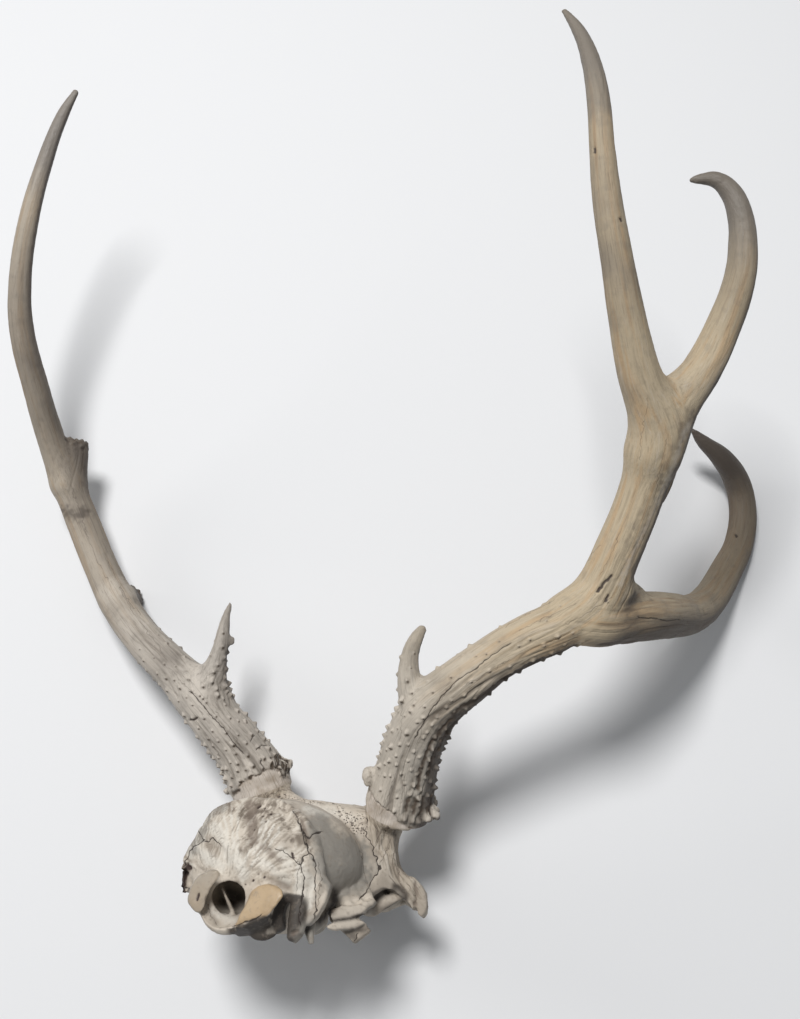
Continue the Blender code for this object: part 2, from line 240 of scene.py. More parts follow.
LEFT_BEAM = [
    (-76, -164, 41, 36), (-81, -151, 45, 37), (-90, -137, 51, 32), (-106, -119, 58, 29),
    (-129, -92.5, 58, 25.4), (-151, -70, 48, 23.6), (-171.5, -43, 32, 23.6), (-186, -17, 27, 21.5),
    (-199, 12, 31, 21), (-209, 36, 39, 20), (-217, 58, 54, 17.8), (-223, 83, 79, 16.4),
    (-228, 109, 101, 15.2), (-228, 130, 114, 14), (-223, 164, 129, 12.6),
    (-213, 204, 140, 10.2), (-203, 231, 148, 8), (-194, 246.5, 153, 4.6)]
LEFT_BROW = [
    (-111, -109, 58, 20), (-107, -99, 69, 15.5), (-103.2, -89, 75, 10.8), (-101, -79, 78, 8.8),
    (-99.8, -70, 78.5, 7.2), (-98.4, -61, 77.5, 4.6), (-96.7, -54.6, 77, 2.6)]
RIGHT_RIDGE = [
    (120, -55, 158, 5), (127, -43.5, 166, 7.5), (132.7, -32.7, 172, 8.5), (138.4, -22.5, 178, 9.2),
    (142.6, -11, 187, 9), (146.2, -1, 194, 8), (149, 5, 200, 7.5), (155, 17, 206, 6)]
RIGHT_WEB = [(119, -69, 150, 13), (123, -67, 141, 13), (127, -66, 132, 13)]
LEFT_FRONT_STUB = [(-173, -40, 31, 23), (-174.5, -35, 12, 22), (-174, -33, -4, 21)]
LEFT_HOOK_STUB = [(-208, 34, 38, 20), (-204, 49, 43, 16), (-202.5, 60.5, 47, 14)]
LEFT_KNOB = [(-173, -40, 26, 16), (-170, -32, 13, 11), (-169.5, -29, 8, 8)]


def station(path, at):
    """x, y, z and diameter, and the direction there, on a smooth line through a path."""
    data = np.array(path, float)
    first = int(min(max(math.floor(at), 0), len(data) - 2))
    part = at - first
    before = data[max(first - 1, 0)]
    start = data[first]
    end = data[first + 1]
    after = data[min(first + 2, len(data) - 1)]
    slope_a = (end - before) / 2
    slope_b = (after - start) / 2
    square = part * part
    cube = square * part
    spot = ((2 * cube - 3 * square + 1) * start + (cube - 2 * square + part) * slope_a
            + (3 * square - 2 * cube) * end + (cube - square) * slope_b)
    speed = ((6 * square - 6 * part) * (start - end) + (3 * square - 4 * part + 1) * slope_a
             + (3 * square - 2 * part) * slope_b)
    direction = speed[:3] / np.linalg.norm(speed[:3])
    return spot, direction


print("right beam", len(RIGHT_BEAM), "points, left beam", len(LEFT_BEAM), "points")

# %% [markdown]
# ## Growing the branches together
#
# A voxel remesh turns overlapping tubes into one skin, and smoothing rounds its steps
# off.

# %% Grow together
def threes(items, name):
    """One vector of each item, as rows."""
    flat = np.empty(len(items) * 3)
    items.foreach_get(name, flat)
    return flat.reshape(-1, 3)


def points_of(thing):
    """The points in millimetres."""
    return threes(thing.data.vertices, "co") / MM


def normals_of(thing):
    return threes(thing.data.vertex_normals, "vector")


def place_points(thing, points):
    thing.data.vertices.foreach_set("co", (points * MM).ravel())
    thing.data.update()


def grow_together(things, voxel, rounds, name):
    skin = joined(things, name)
    work(skin, "REMESH", mode="VOXEL", voxel_size=voxel * MM)
    work(skin, "SMOOTH", factor=0.5, iterations=rounds)
    return skin


# %% [markdown]
# ## Random, but the same each time
#
# Natural relief is uneven. This noise gives smooth values between -1 and 1 for any
# points, always the same for the same seed, and stretching its points gives furrows.

# %% Smooth noise for many points at once
def noise(points, seed=0):
    """Each corner of a grid of cubes has a chance value; points between blend them."""
    base = np.floor(points)
    part = points - base
    part = part * part * part * (part * (part * 6 - 15) + 10)
    cell = base.astype(np.int64)
    total = np.zeros(len(points))
    for corner in itertools.product((0, 1), repeat=3):
        spot = cell + corner
        code = (spot[:, 0] * 73856093) ^ (spot[:, 1] * 19349663) ^ (spot[:, 2] * 83492791)
        code = (code ^ (seed * 2654435761)) & 0xFFFFFFFF
        code = ((code ^ (code >> 15)) * 2246822519) & 0xFFFFFFFF
        code = ((code ^ (code >> 13)) * 3266489917) & 0xFFFFFFFF
        value = ((code ^ (code >> 16)) & 0xFFFF) / 32767.5 - 1
        total += value * np.prod(np.where(corner, part, 1 - part), axis=1)
    return total


def rough_noise(points, seed=0, layers=3):
    total = sum(noise(points * 2.03 ** n, seed + n) * 0.5 ** n for n in range(layers))
    return total / (2 - 0.5 ** (layers - 1))


def ease(values):
    """From 0 to 1, smoothly."""
    values = np.clip(values, 0, 1)
    return values * values * (3 - 2 * values)


# %% [markdown]
# The burr is a ring of knobs where the antler leaves the pedicle. On its outer side the
# knobs are drawn out into upright frills, and on the side that looks up it is worn
# flat. It is made of small balls, because a knob hangs over a little, which pushing a
# skin outwards can't give.

# %% The burr
BURR_AT = 1.0                       # station on the beam
BURR_RADIUS = 17.5
BURR_KNOBS = 26
BURR_FRILLS = 23
KNOB_SIZE = 2.9
FLARE = 0.8                         # how far the outer side stands out
WORN_SIDE = Vector((-0.1, -0.25, 1)).normalized()


def around(path, at, angle):
    """The middle and the directions along, round and out at an angle round a beam."""
    spot, direction = station(path, at)
    along = Vector(direction)
    side = along.cross(Vector((0, 0, 1))).normalized()
    out = Matrix.Rotation(angle, 3, along) @ side
    return Vector(spot[:3]), along, along.cross(out), out


def bead_place(point, along, round_, out, half):
    axes = Matrix((along * half[0], round_ * half[1], out * half[2])).transposed()
    return Matrix.Translation(point * MM) @ (axes * MM).to_4x4()


def burr(path, flare, seed):
    """Places of the knobs, and of the upright frills on the side that flares out."""
    chance = np.random.default_rng(seed)
    places = []
    for kind, count in (("knob", BURR_KNOBS), ("frill", BURR_FRILLS)):
        for number in range(count):
            angle = 2 * math.pi * (number + 0.4 * chance.random()) / count
            spot, along, round_, out = around(path, BURR_AT, angle)
            flared = out.dot(Vector(flare).normalized())
            rise, size = chance.normal(), chance.random()
            worn = out.dot(WORN_SIDE) > 0.3 + 0.5 * flared or flared < -0.25
            if worn or (kind == "knob" and flared > 0.4):
                continue
            if kind == "knob":
                reach, half = BURR_RADIUS, (KNOB_SIZE * 1.5, KNOB_SIZE, KNOB_SIZE)
            else:
                reach, half = BURR_RADIUS - 0.6, (3.4 + 2.5 * size, 1.2, 4.4 + 0.8 * size)
            reach += FLARE * ease(flared) + 0.4 * rise
            place = spot + out * reach - along * (2 * ease(flared) - 2.5 * size)
            places.append(bead_place(place, along, round_, out, half))
    return places


# %% [markdown]
# ## Finding one's way on a branch
#
# Furrows run along a branch, whichever way it bends. So each point of the skin gets
# its own place on the nearest branch: how far along, and where across. Where two
# branches meet, both give a share, and nothing jumps.

# %% A place on each branch for each point
def centre_line(path):
    """Close spots on a path, with the directions along it and across it there."""
    stations = np.linspace(0, len(path) - 1, 12 * (len(path) - 1) + 1)
    spots = np.array([station(path, at)[0] for at in stations])
    centre = spots[:, :3]
    along = np.gradient(centre, axis=0)
    along /= np.linalg.norm(along, axis=1)[:, None]
    side = np.cross(along[0], (0, 0, 1))
    sides = []
    for direction in along:
        side = side - direction * side.dot(direction)
        side = side / np.linalg.norm(side)
        sides.append(side)
    sides = np.array(sides)
    steps = np.linalg.norm(np.diff(centre, axis=0), axis=1)
    return {
        "centre": centre, "radius": spots[:, 3] / 2, "along": along, "side": sides,
        "lift": np.cross(along, sides), "reach": np.concatenate(([0], np.cumsum(steps)))}


def nearest_on(points, line):
    """The number of the line's spot that is nearest to each point."""
    centre = line["centre"]
    squares = (centre ** 2).sum(axis=1)
    nearest = np.empty(len(points), int)
    for start in range(0, len(points), 40000):      # a part at a time, to save memory
        part = points[start:start + 40000]
        nearest[start:start + 40000] = (squares - 2 * part @ centre.T).argmin(axis=1)
    return nearest


def lie_on(points, line):
    """Height over the branch's skin, distance along it, and the two places across."""
    nearest = nearest_on(points, line)
    offset = points - line["centre"][nearest]
    ahead, across, up = (
        (offset * line[way][nearest]).sum(axis=1) for way in ("along", "side", "lift"))
    over = np.linalg.norm(offset, axis=1) - line["radius"][nearest]
    return over, line["reach"][nearest] + ahead, across, up


def shares_of(overs, soft):
    """How much each branch counts at each point."""
    overs = np.array(overs)
    share = ease(1 - (overs - overs.min(axis=0)) / soft)
    return share / share.sum(axis=0)


# %% [markdown]
# Real forks have webs: the skin runs in a soft curve from one branch to the next. So
# near the forks each point moves out to where the branches, taken softly together,
# have their skin. The softness is in millimetres.

# %% Fill out the forks
def fill_forks(skin, middle, reach, paths, soft):
    lines = [centre_line(path) for path in paths]
    points = points_of(skin)
    gaps = np.linalg.norm(points - middle, axis=1)
    near = gaps < reach
    part = points[near]
    for _ in range(8):
        total = np.zeros(len(part))
        way = np.zeros((len(part), 3))
        for line in lines:
            nearest = nearest_on(part, line)
            offset = part - line["centre"][nearest]
            width = np.linalg.norm(offset, axis=1)
            share = np.exp((line["radius"][nearest] - width) / soft)
            total += share
            way += (share / width)[:, None] * offset
        way /= total[:, None]
        level = -soft * np.log(total) / ((way ** 2).sum(axis=1) + 0.02)
        part = part - np.clip(level, -1.8, 1.8)[:, None] * way
    weight = ease(2 - 2 * gaps[near] / reach)[:, None]
    points[near] += (part - points[near]) * weight
    place_points(skin, points)


# %% [markdown]
# ## Furrows and grain
#
# The relief is a height in millimetres that the skin moves outwards. Wide swells, ribs
# and fine lines are noise stretched along the branch. A furrow is where a stretched
# noise passes zero: that makes long thin lines that wander, split and end.

# %% Lengthwise relief
RIBS = [                            # height, least coarseness, width and length
    (0.55, 0.3, 14, 55), (0.55, 0, 6, 40), (0.30, 0, 2.8, 22), (0.10, 0.35, 1.5, 14)]
FURROWS = [                         # depth, least coarseness, width, length and thinness
    (0.75, 0, 8, 90, 0.10), (0.45, 0.15, 5, 60, 0.08), (0.16, 0.4, 3, 34, 0.10)]


def stretched(across, up, reach, wide, long, seed):
    return noise(np.column_stack((across / wide, up / wide, reach / long)), seed)


def furrows(across, up, reach, wide, long, thin, seed):
    bend = 0.35 * stretched(across, up, reach, wide * 2, long / 3, seed + 50)
    return np.exp(-((stretched(across, up, reach, wide, long, seed) + bend) / thin) ** 2)


def lengthwise(across, up, reach, coarse, seed):
    """Height of a branch's skin; coarse is 1 at the burr and near 0 at a tip."""
    place = (across, up, reach)
    height = np.zeros(len(reach))
    for number, (tall, least, *scale) in enumerate(RIBS, seed):
        height += tall * (least + coarse) * stretched(*place, *scale, number)
    for number, (deep, least, *scale) in enumerate(FURROWS, seed + len(RIBS)):
        height -= deep * (least + coarse) * furrows(*place, *scale, number)
    return height


# %% [markdown]
# ## Marks drawn as they are seen
#
# Cracks, seams and stains have a place of their own. They are drawn as lines on the
# picture plane and fall on the skin like the light of a projector, on the faces that
# look this way. The skin keeps them, so they stay in place from any side.

# %% Project points to the picture and measure to a drawn line
def on_picture(points):
    """Pixel place of each point, in the picture's frame."""
    turn = np.array(EYE_TURN.to_matrix())
    seen = (points * MM - np.array(EYE)) @ turn
    scale = FOCUS / -seen[:, 2]
    return np.column_stack((
        SHORT_SIDE / 2 + seen[:, 0] * scale, LONG_SIDE / 2 - seen[:, 1] * scale))


def facing(points, normals):
    """Near 1 where the skin looks at the camera and 0 where it looks away."""
    away = np.array(EYE) / MM - points
    away /= np.linalg.norm(away, axis=1)[:, None]
    return ease(4 * (away * normals).sum(axis=1) - 0.1)


def to_lines(spots, lines):
    """Pixels to the nearest of the drawn lines; below 0 on the left of it."""
    nearest = np.full(len(spots), 1e6)
    signed = nearest.copy()
    for line in lines:
        line = np.array(line, float)
        if len(line) == 1:
            line = np.vstack((line, line + 0.1))
        for start, end in zip(line[:-1], line[1:]):
            way = end - start
            offset = spots - start
            part = np.clip((offset @ way) / (way @ way), 0, 1)
            gap = np.linalg.norm(offset - part[:, None] * way, axis=1)
            side = np.where(way[0] * offset[:, 1] > way[1] * offset[:, 0], 1, -1)
            closer = gap < nearest
            signed[closer] = (side * gap)[closer]
            nearest[closer] = gap[closer]
    return signed


def strayed(spots, wander, seed):
    """Spots moved a little by chance, so that a drawn line comes out unsteady."""
    flat = np.column_stack((spots / 3.5, np.zeros(len(spots))))
    return spots + wander * np.column_stack((noise(flat, seed), noise(flat + 0.5, seed + 9)))


def strokes(spots, lines, width, wander=0.0, seed=0):
    """1 on any of the drawn lines, falling to 0 over the width in pixels."""
    return np.exp(-(to_lines(strayed(spots, wander, seed), lines) / width) ** 2)


def within(points):
    """Keep points inside the measured box; what is below the floor is cut off later."""
    low, high = np.array(CAD_BOX) / MM
    low[2] = -1000
    return np.clip(points, low + 0.05, high - 0.05)


def meet(points, path, radius, far):
    """Draw the skin near the lower end of an antler to a circle, to match the skull."""
    spot, direction = station(path, 0.5)
    offset = points - spot[:3]
    ahead = offset @ direction
    across = offset - ahead[:, None] * direction
    width = np.linalg.norm(across, axis=1)
    near = ease(1 - np.abs(ahead) / far) * (np.abs(width - radius) < 7)
    return points + across / (width[:, None] + 1e-6) * (near * (radius - width))[:, None]


# %% [markdown]
# ## Pearls
#
# The beads on the lower beams are called pearls. Each is a small sharp bump, a little
# longer than wide, and they crowd on the outer side of the beam. Each one is raised on
# the few points of the skin near it, which a search tree finds.

# %% Scatter and raise the pearls
PEARL_TRIES = 5200
PEARL_SHADE_SIDE = np.array((0.55, -0.8, -0.2))             # the side of a pearl turned from the lamp, with painted shade and dirt
def scatter_pearls(path, stretch, favour, spacing, seed, pearls):
    """Add pearls by chance: spots on the beam's skin with directions, size and height."""
    chance = np.random.default_rng(seed)
    spots = np.array([pearl[0] for pearl in pearls]).reshape(-1, 3)
    for _ in range(PEARL_TRIES):
        at = stretch[0] + (stretch[1] - stretch[0]) * chance.random()
        angle = 2 * math.pi * chance.random()
        size = chance.random()
        middle, along, round_, out = around(path, at, angle)
        spot = np.array(middle + out * (station(path, at)[0][3] / 2))
        crowd = ease(0.5 + 0.9 * out.dot(Vector(favour)))
        faded = ease((at - stretch[0]) / (stretch[1] - stretch[0]))
        apart = spacing * (0.85 + 0.55 * (1 - crowd) + 0.5 * faded)
        if len(spots) and np.min(np.linalg.norm(spots - spot, axis=1)) < apart:
            continue
        spots = np.vstack((spots, spot))
        wide = (0.75 + 0.45 * size) * (0.85 + 0.2 * crowd)
        tall = (0.6 + 0.75 * crowd) * (1 - 0.45 * faded) * (0.8 + 1.1 * size)
        pearls.append((spot, along, round_, wide, tall))


def drawn_pearls(skin, path, drawn):
    """Pearls at spots of the picture, with their size."""
    points = points_of(skin)
    ahead = facing(points, normals_of(skin)) > 0.3
    points = points[ahead]
    spots = on_picture(points)
    stations = np.linspace(0, len(path) - 1, 60)
    middles = np.array([station(path, at)[0][:3] for at in stations])
    pearls = []
    for x, y, size in drawn:
        spot = points[np.linalg.norm(spots - (x, y), axis=1).argmin()]
        at = stations[np.linalg.norm(middles - spot, axis=1).argmin()]
        along = Vector(station(path, at)[1])
        round_ = along.cross(Vector(spot) - Vector(station(path, at)[0][:3])).normalized()
        pearls.append((spot, along, round_, 0.6 + 0.35 * size, 0.55 + 0.7 * size))
    return pearls


def raise_pearls(points, pearls):
    """Height in millimetres, nearness to a pearl's top, and to the painted shade and dirt beside
    it.
    """
    tree = KDTree(len(points))
    for index, point in enumerate(points):
        tree.insert(point, index)
    tree.balance()
    height, crown, dirt = np.zeros((3, len(points)))
    for spot, along, round_, wide, tall in pearls:
        foot = tree.find(spot)[0]
        near = np.array([found[1] for found in tree.find_range(foot, wide * 3.4)])
        offset = points[near] - np.array(foot)
        square = ((offset @ np.array(along)) / (1.25 * wide)) ** 2
        square += ((offset @ np.array(round_)) / wide) ** 2
        bump = np.exp(-1.1 * square) - 0.10 * np.exp(-0.5 * (square - 2.6) ** 2)
        height[near] += tall * np.where(height[near] > 0.4 * tall, 0.3, 1.0) * bump
        crown[near] = np.maximum(crown[near], np.exp(-1.6 * square))
        moved = offset - PEARL_SHADE_SIDE * wide * 0.95
        spread = (moved ** 2).sum(axis=1) / (0.85 * wide) ** 2
        dirt[near] = np.maximum(dirt[near], min(1, 0.65 + 0.5 * tall) * np.exp(-spread))
    return height, crown, dirt


# %% [markdown]
# ## Parting the skin at the forks
#
# The measured model has one solid for each part between forks, so the skin is parted
# there too. Bisect cuts the faces round a branch along a plane, edge split opens the
# cut without leaving a gap, and after the loose parts are separated each hole is
# closed with a flat face. Sharp edges round it keep the shading of the skin even.

# %% Saw, separate and close
def saw(skin, path, at, radius):
    """Part the skin all round a branch at a station."""
    spot, direction = station(path, at)
    centre = Vector(spot[:3])
    faces = skin.data.polygons
    offset = threes(faces, "center") / MM - np.array(centre)
    ahead = offset @ direction
    across = np.linalg.norm(offset - ahead[:, None] * direction, axis=1)
    near = (np.abs(ahead) < 4) & (across < radius)
    with editing(skin):
        bpy.ops.mesh.select_mode(type="FACE")
        bpy.ops.mesh.select_all(action="DESELECT")
    faces.foreach_set("select", near)
    bpy.ops.object.mode_set(mode="EDIT")
    bpy.ops.mesh.bisect(plane_co=centre * MM, plane_no=Vector(direction), threshold=1e-6)
    bpy.ops.mesh.edge_split(type="EDGE")
    bpy.ops.object.mode_set(mode="OBJECT")


def trim_at_floor(skin):
    """Cut off what the floor would press flat."""
    with editing(skin):
        bpy.ops.mesh.bisect(
            plane_co=(0, 0, 0), plane_no=(0, 0, 1), clear_inner=True, threshold=1e-6)


def close_holes(piece):
    with editing(piece):
        bpy.ops.mesh.select_mode(type="EDGE")
        bpy.ops.mesh.select_all(action="DESELECT")
        bpy.ops.mesh.select_non_manifold(
            extend=False, use_wire=False, use_multi_face=False, use_non_contiguous=False,
            use_verts=False)
        bpy.ops.mesh.mark_sharp()
        bpy.ops.mesh.fill_holes(sides=0)
        bpy.ops.mesh.select_all(action="SELECT")
        bpy.ops.mesh.normals_make_consistent()
    bpy.ops.object.shade_smooth()


def part_pieces(skin, cuts, homes):
    """Saw, separate, name each part by a point near it, and drop the rest."""
    for path, at, radius in cuts:
        saw(skin, path, at, radius)
    trim_at_floor(skin)
    with editing(skin):
        bpy.ops.mesh.separate(type="LOOSE")
    loose = list(bpy.context.selected_objects)
    pieces = {}
    for name, home in homes.items():
        pieces[name] = min(loose, key=lambda thing: np.min(
            np.linalg.norm(points_of(thing) - home[:3], axis=1)))
    for thing in loose:
        if thing not in pieces.values():
            bpy.data.objects.remove(thing)
    for name, piece in pieces.items():
        piece.name = name + "_skin"
        close_holes(piece)
        print(name, len(piece.data.polygons), "faces")
    return pieces


# %% [markdown]
# What a material must know about a place on the skin is stored on its points as
# attributes. They are worked out here once, and shader nodes read them by name.

# %% Store values on the points
def keep(skin, **layers):
    for name, values in layers.items():
        kind, slot = ("FLOAT", "value") if values.ndim == 1 else ("FLOAT_VECTOR", "vector")
        layer = skin.data.attributes.new(name, kind, "POINT")
        layer.data.foreach_set(slot, values.astype(np.float32).ravel())


def keep_cracks(skin, rift, fine_rift, seen):
    """Signed distance to the cracks, and how near they are on the side that is seen."""
    keep(skin, rift=np.clip(rift, -5, 5), near=np.exp(-(rift / 2.2) ** 2) * seen,
         fine_rift=np.clip(fine_rift, -5, 5), fine_near=np.exp(-(fine_rift / 2.2) ** 2) * seen)


# %% [markdown]
# ## Carving an antler
#
# Each branch lends its furrows to the points near it. The beam is coarse at the burr
# and smooth at the tips, where the buck rubbed and polished it.

# %% Share out the branches' relief
def blend_branches(points, normals, branches, outer, seed):
    """Each point's place on the branches, and the values that they lend it."""
    lines = [centre_line(path) for path, root, coarse, dusk in branches]
    lies = np.array([lie_on(points, line) for line in lines])
    shares = shares_of(lies[:, 0], 5)
    height, reach, tip, dusk_here, rugged = np.zeros((5, len(points)))
    outward = ease(0.5 + 0.6 * normals @ np.array(outer))
    for number, (path, root, coarse, dusk) in enumerate(branches):
        ahead, across, up = lies[number, 1:]
        coarse_here = np.interp(ahead, *coarse) * (0.35 + 1.05 * outward)
        height += shares[number] * lengthwise(across, up, ahead, coarse_here, seed + 20 * number)
        reach += shares[number] * (root + ahead)
        length = lines[number]["reach"][-1]
        tip += shares[number] * ease(1.3 - (length - ahead) / 74) * min(1, length / 120)
        # Each branch lends its darkening along it: painted shade where it lies low or in another
        # branch's shadow, and dirt.
        dusk_here += shares[number] * np.interp(ahead, *dusk)
        rugged += shares[number] * coarse_here
    return lies, height, reach, tip, dusk_here, rugged


def grain_of(lies):
    """Places in the grain of the nearest branch, and how far from a change of branch."""
    sharp = shares_of([lie[0] + (number > 0) for number, lie in enumerate(lies)], 1.2)
    main = sharp.argmax(axis=0)
    ahead, across, up = lies[main, :, np.arange(len(main))].T[1:]
    return np.column_stack((across, up, ahead + 300 * main)), ease(2 * sharp.max(axis=0) - 1)


# %% Carve
NECK_RADIUS = 17.6                  # where the burr and the pedicle meet
SHADED = np.array((0.78, -0.55, -0.3))              # the side turned from the lamp, darkened with painted shade


def carve_antler(skin, branches, pearls, marks, breaks, outer, seed):
    """Relief and values for the material of a whole antler.

    Branches give a path, the distance of its root from the burr, and coarseness and
    painted shade and dirt along it. Marks are drawn lines of each kind, breaks are places
    and sizes of broken ends, and outer is the way that the coarse side looks.
    """
    points = points_of(skin)
    normals = normals_of(skin)
    lies, height, reach, tip, dusk, rugged = blend_branches(
        points, normals, branches, outer, seed)
    ahead, across, up = lies[0, 1:]
    raised, crown, dirt = raise_pearls(points, pearls)
    height += raised
    seen = facing(points, normals)
    spots = on_picture(points)
    rift = to_lines(strayed(spots, 1.0, seed), marks["cracks"])
    fine_rift = to_lines(strayed(spots, 1.6, seed + 2), marks["fine cracks"])
    scar = strokes(spots, marks["scars"], 1.6, 1.2, seed + 1) * seen
    groove = strokes(spots, marks["grooves"], 2.3, 1.5, seed + 3) * seen
    margin = to_lines(strayed(spots, 2, seed + 4), marks["bare"])
    shaved = ease(0.5 + margin / 2.5) * ease(3 - ahead / 20) * seen
    edge = np.exp(-(margin / 1.1) ** 2) * ease(3 - ahead / 20) * seen
    crumbs = rough_noise(points / 1.6, seed + 7)
    burr_here = ease(1 - np.abs(reach - 13) / 9) * ease(0.75 - normals[:, 2])
    bend = stretched(across, up, ahead, 4, 9, seed + 9)
    flutes = np.sqrt(np.abs(np.sin(24 * np.arctan2(up, across) + 1.6 * bend))) - 0.6
    notches = edge * ease(0.3 + 2 * crumbs)
    height *= 1 - 0.35 * shaved
    height += crumbs * (0.10 * rugged + 0.25 * burr_here) + 1.9 * flutes * burr_here
    height -= 0.9 * shaved + 0.9 * notches
    height -= 0.40 * np.exp(-(rift / 0.9) ** 2) * seen + 0.8 * scar + 0.9 * groove
    broken = np.zeros(len(points))
    for place, size in breaks:
        broken = np.maximum(broken, ease(1.6 - np.linalg.norm(points - place, axis=1) / size))
    height += broken * (1.5 * noise(points / 2.3, seed + 8) + 0.9 * crumbs)
    moved = points + normals * height[:, None]
    place_points(skin, within(meet(moved, branches[0][0], NECK_RADIUS, 4)))
    # Broken ends, grooves, notches and the gaps between the burr's frills are darkened too: dirt
    # and painted shade in these recesses.
    flaws = 0.8 * broken * ease(0.4 - crumbs) + 0.8 * groove + 0.9 * notches
    flaws += 0.9 * burr_here * ease(-0.5 - 2.2 * flutes)
    # Soft dark strokes drawn on the picture: painted shade and stains.
    dusk += 0.4 * strokes(spots, marks["shade and stains"], 6, 5, seed + 5) * seen
    # Darker on the coarse outer side: dirt and painted shade.
    dusk += 0.45 * rugged * ease((normals @ np.array(outer) - 0.35) * 2)
    # Painted shade on the side turned from the lamp, with a darker band at its edge.
    dusk += 0.40 * ease((normals @ SHADED - 0.45) * 2)
    dusk += 0.60 * ease((normals @ SHADED - 0.70) * 5)
    # A painted highlight along the rear branch's ridge, kept with the pearls' pale tops.
    glint = 1.6 * strokes(spots, marks["glints"], 2.4, 1.5, seed + 6) * seen
    grain, calm = grain_of(lies)
    keep(skin, relief=np.clip(height - raised, -2, 2), crown=np.maximum(crown, glint),
         bare=shaved, dirt=np.clip(dirt + flaws, 0, 1), scar=scar, reach=reach / 100,
         tip=tip, dusk=dusk, rugged=rugged, calm=calm, grain=grain)
    keep_cracks(skin, rift, fine_rift, seen)


# %% [markdown]
# ## Growing an antler
#
# Both antlers are grown in the same order: the tubes together, the forks filled out,
# then a last ridge and the burr's beads grown on. The voxels are small, and each face
# is parted once more, because pearls 2 mm wide need several faces each.

# %% One way for both antlers
ANTLER_VOXEL = 1.25


def grow_antler(name, paths, forks, ridges, beads, rounds):
    skin = grow_together([tube(path) for path in paths], ANTLER_VOXEL, 3, name)
    for fork in forks:
        fill_forks(skin, *fork)
    skin = grow_together(
        [skin] + [tube(path) for path in ridges] + [bead_copies(beads)],
        ANTLER_VOXEL, rounds, name)
    work(skin, "SUBSURF", levels=1, render_levels=1)
    print(name, len(skin.data.polygons), "faces")
    return skin


# %% [markdown]
# ## The right antler
#
# A ridge runs up from its first fork towards the second, and a web fills the first one
# out. The larger pearls, the cracks and the grooves are drawn where the picture shows
# them, and smaller pearls are scattered between.

# %% Right antler
RIGHT_FLARE = (0.9, -0.3, -0.2)
right_skin = grow_antler(
    "right_antler", [RIGHT_BEAM, RIGHT_FRONT, RIGHT_HOOK, RIGHT_BROW, RIGHT_WEB],
    [((118, -66, 145), 48, [RIGHT_BEAM, RIGHT_FRONT, RIGHT_WEB], 3.2),
     ((138, 10, 208), 52, [RIGHT_BEAM, RIGHT_HOOK], 4.6)],
    [RIGHT_RIDGE],
    burr(RIGHT_BEAM, RIGHT_FLARE, 3) + [placed((-15, -157, 91), (4.2, 5.2, 4.4))], 2)

# %% Right pearls
RIGHT_OUTER = (0.75, -0.6, -0.1)
right_pearls = drawn_pearls(right_skin, RIGHT_BEAM, [
    (412, 692, 0.9), (451, 677, 0.9), (471, 681, 0.8), (486, 653, 0.5), (499, 641, 0.7),
    (530, 639, 0.6), (476, 656, 0.5), (433, 692, 0.7), (424, 706, 0.6), (417, 722, 0.6),
    (398, 728, 0.4), (400, 745, 0.8), (408, 745, 0.6), (387, 750, 0.5), (414, 752, 0.9),
    (396, 756, 0.6), (423, 738, 0.9), (427, 733, 0.7), (432, 725, 0.9), (437, 718, 0.9),
    (447, 708, 1.0), (451, 701, 0.7), (468, 644, 1.5), (437, 667, 1.2), (443, 667, 0.6),
    (462, 655, 0.6), (500, 626, 0.5), (401, 774, 1.0), (404, 784, 0.8), (396, 765, 0.7),
    (385, 764, 0.5), (390, 776, 0.4), (412, 770, 0.9), (420, 757, 0.8), (418, 775, 0.8),
    (388, 735, 0.4), (405, 715, 0.4), (518, 646, 0.4), (560, 606, 0.4), (607, 602, 0.5),
    (404, 819, 3.0), (412, 821, 2.2), (419, 822, 2.8), (427, 819, 2.4), (433, 815, 2.2),
    (394, 811, 1.4), (368, 786, 1.2), (410, 795, 1.4), (421, 790, 1.2), (397, 797, 0.9)])
scatter_pearls(RIGHT_BEAM, (1.5, 8.0), RIGHT_OUTER, 5.6, 3, right_pearls)
scatter_pearls(RIGHT_BEAM, (2.0, 4.6), (-0.9, 0.2, 0.1), 4.8, 9, right_pearls)
scatter_pearls(RIGHT_BROW, (0.4, 2.6), (-0.9, -0.3, 0.2), 5.6, 5, right_pearls)
print(len(right_pearls), "pearls on the right")

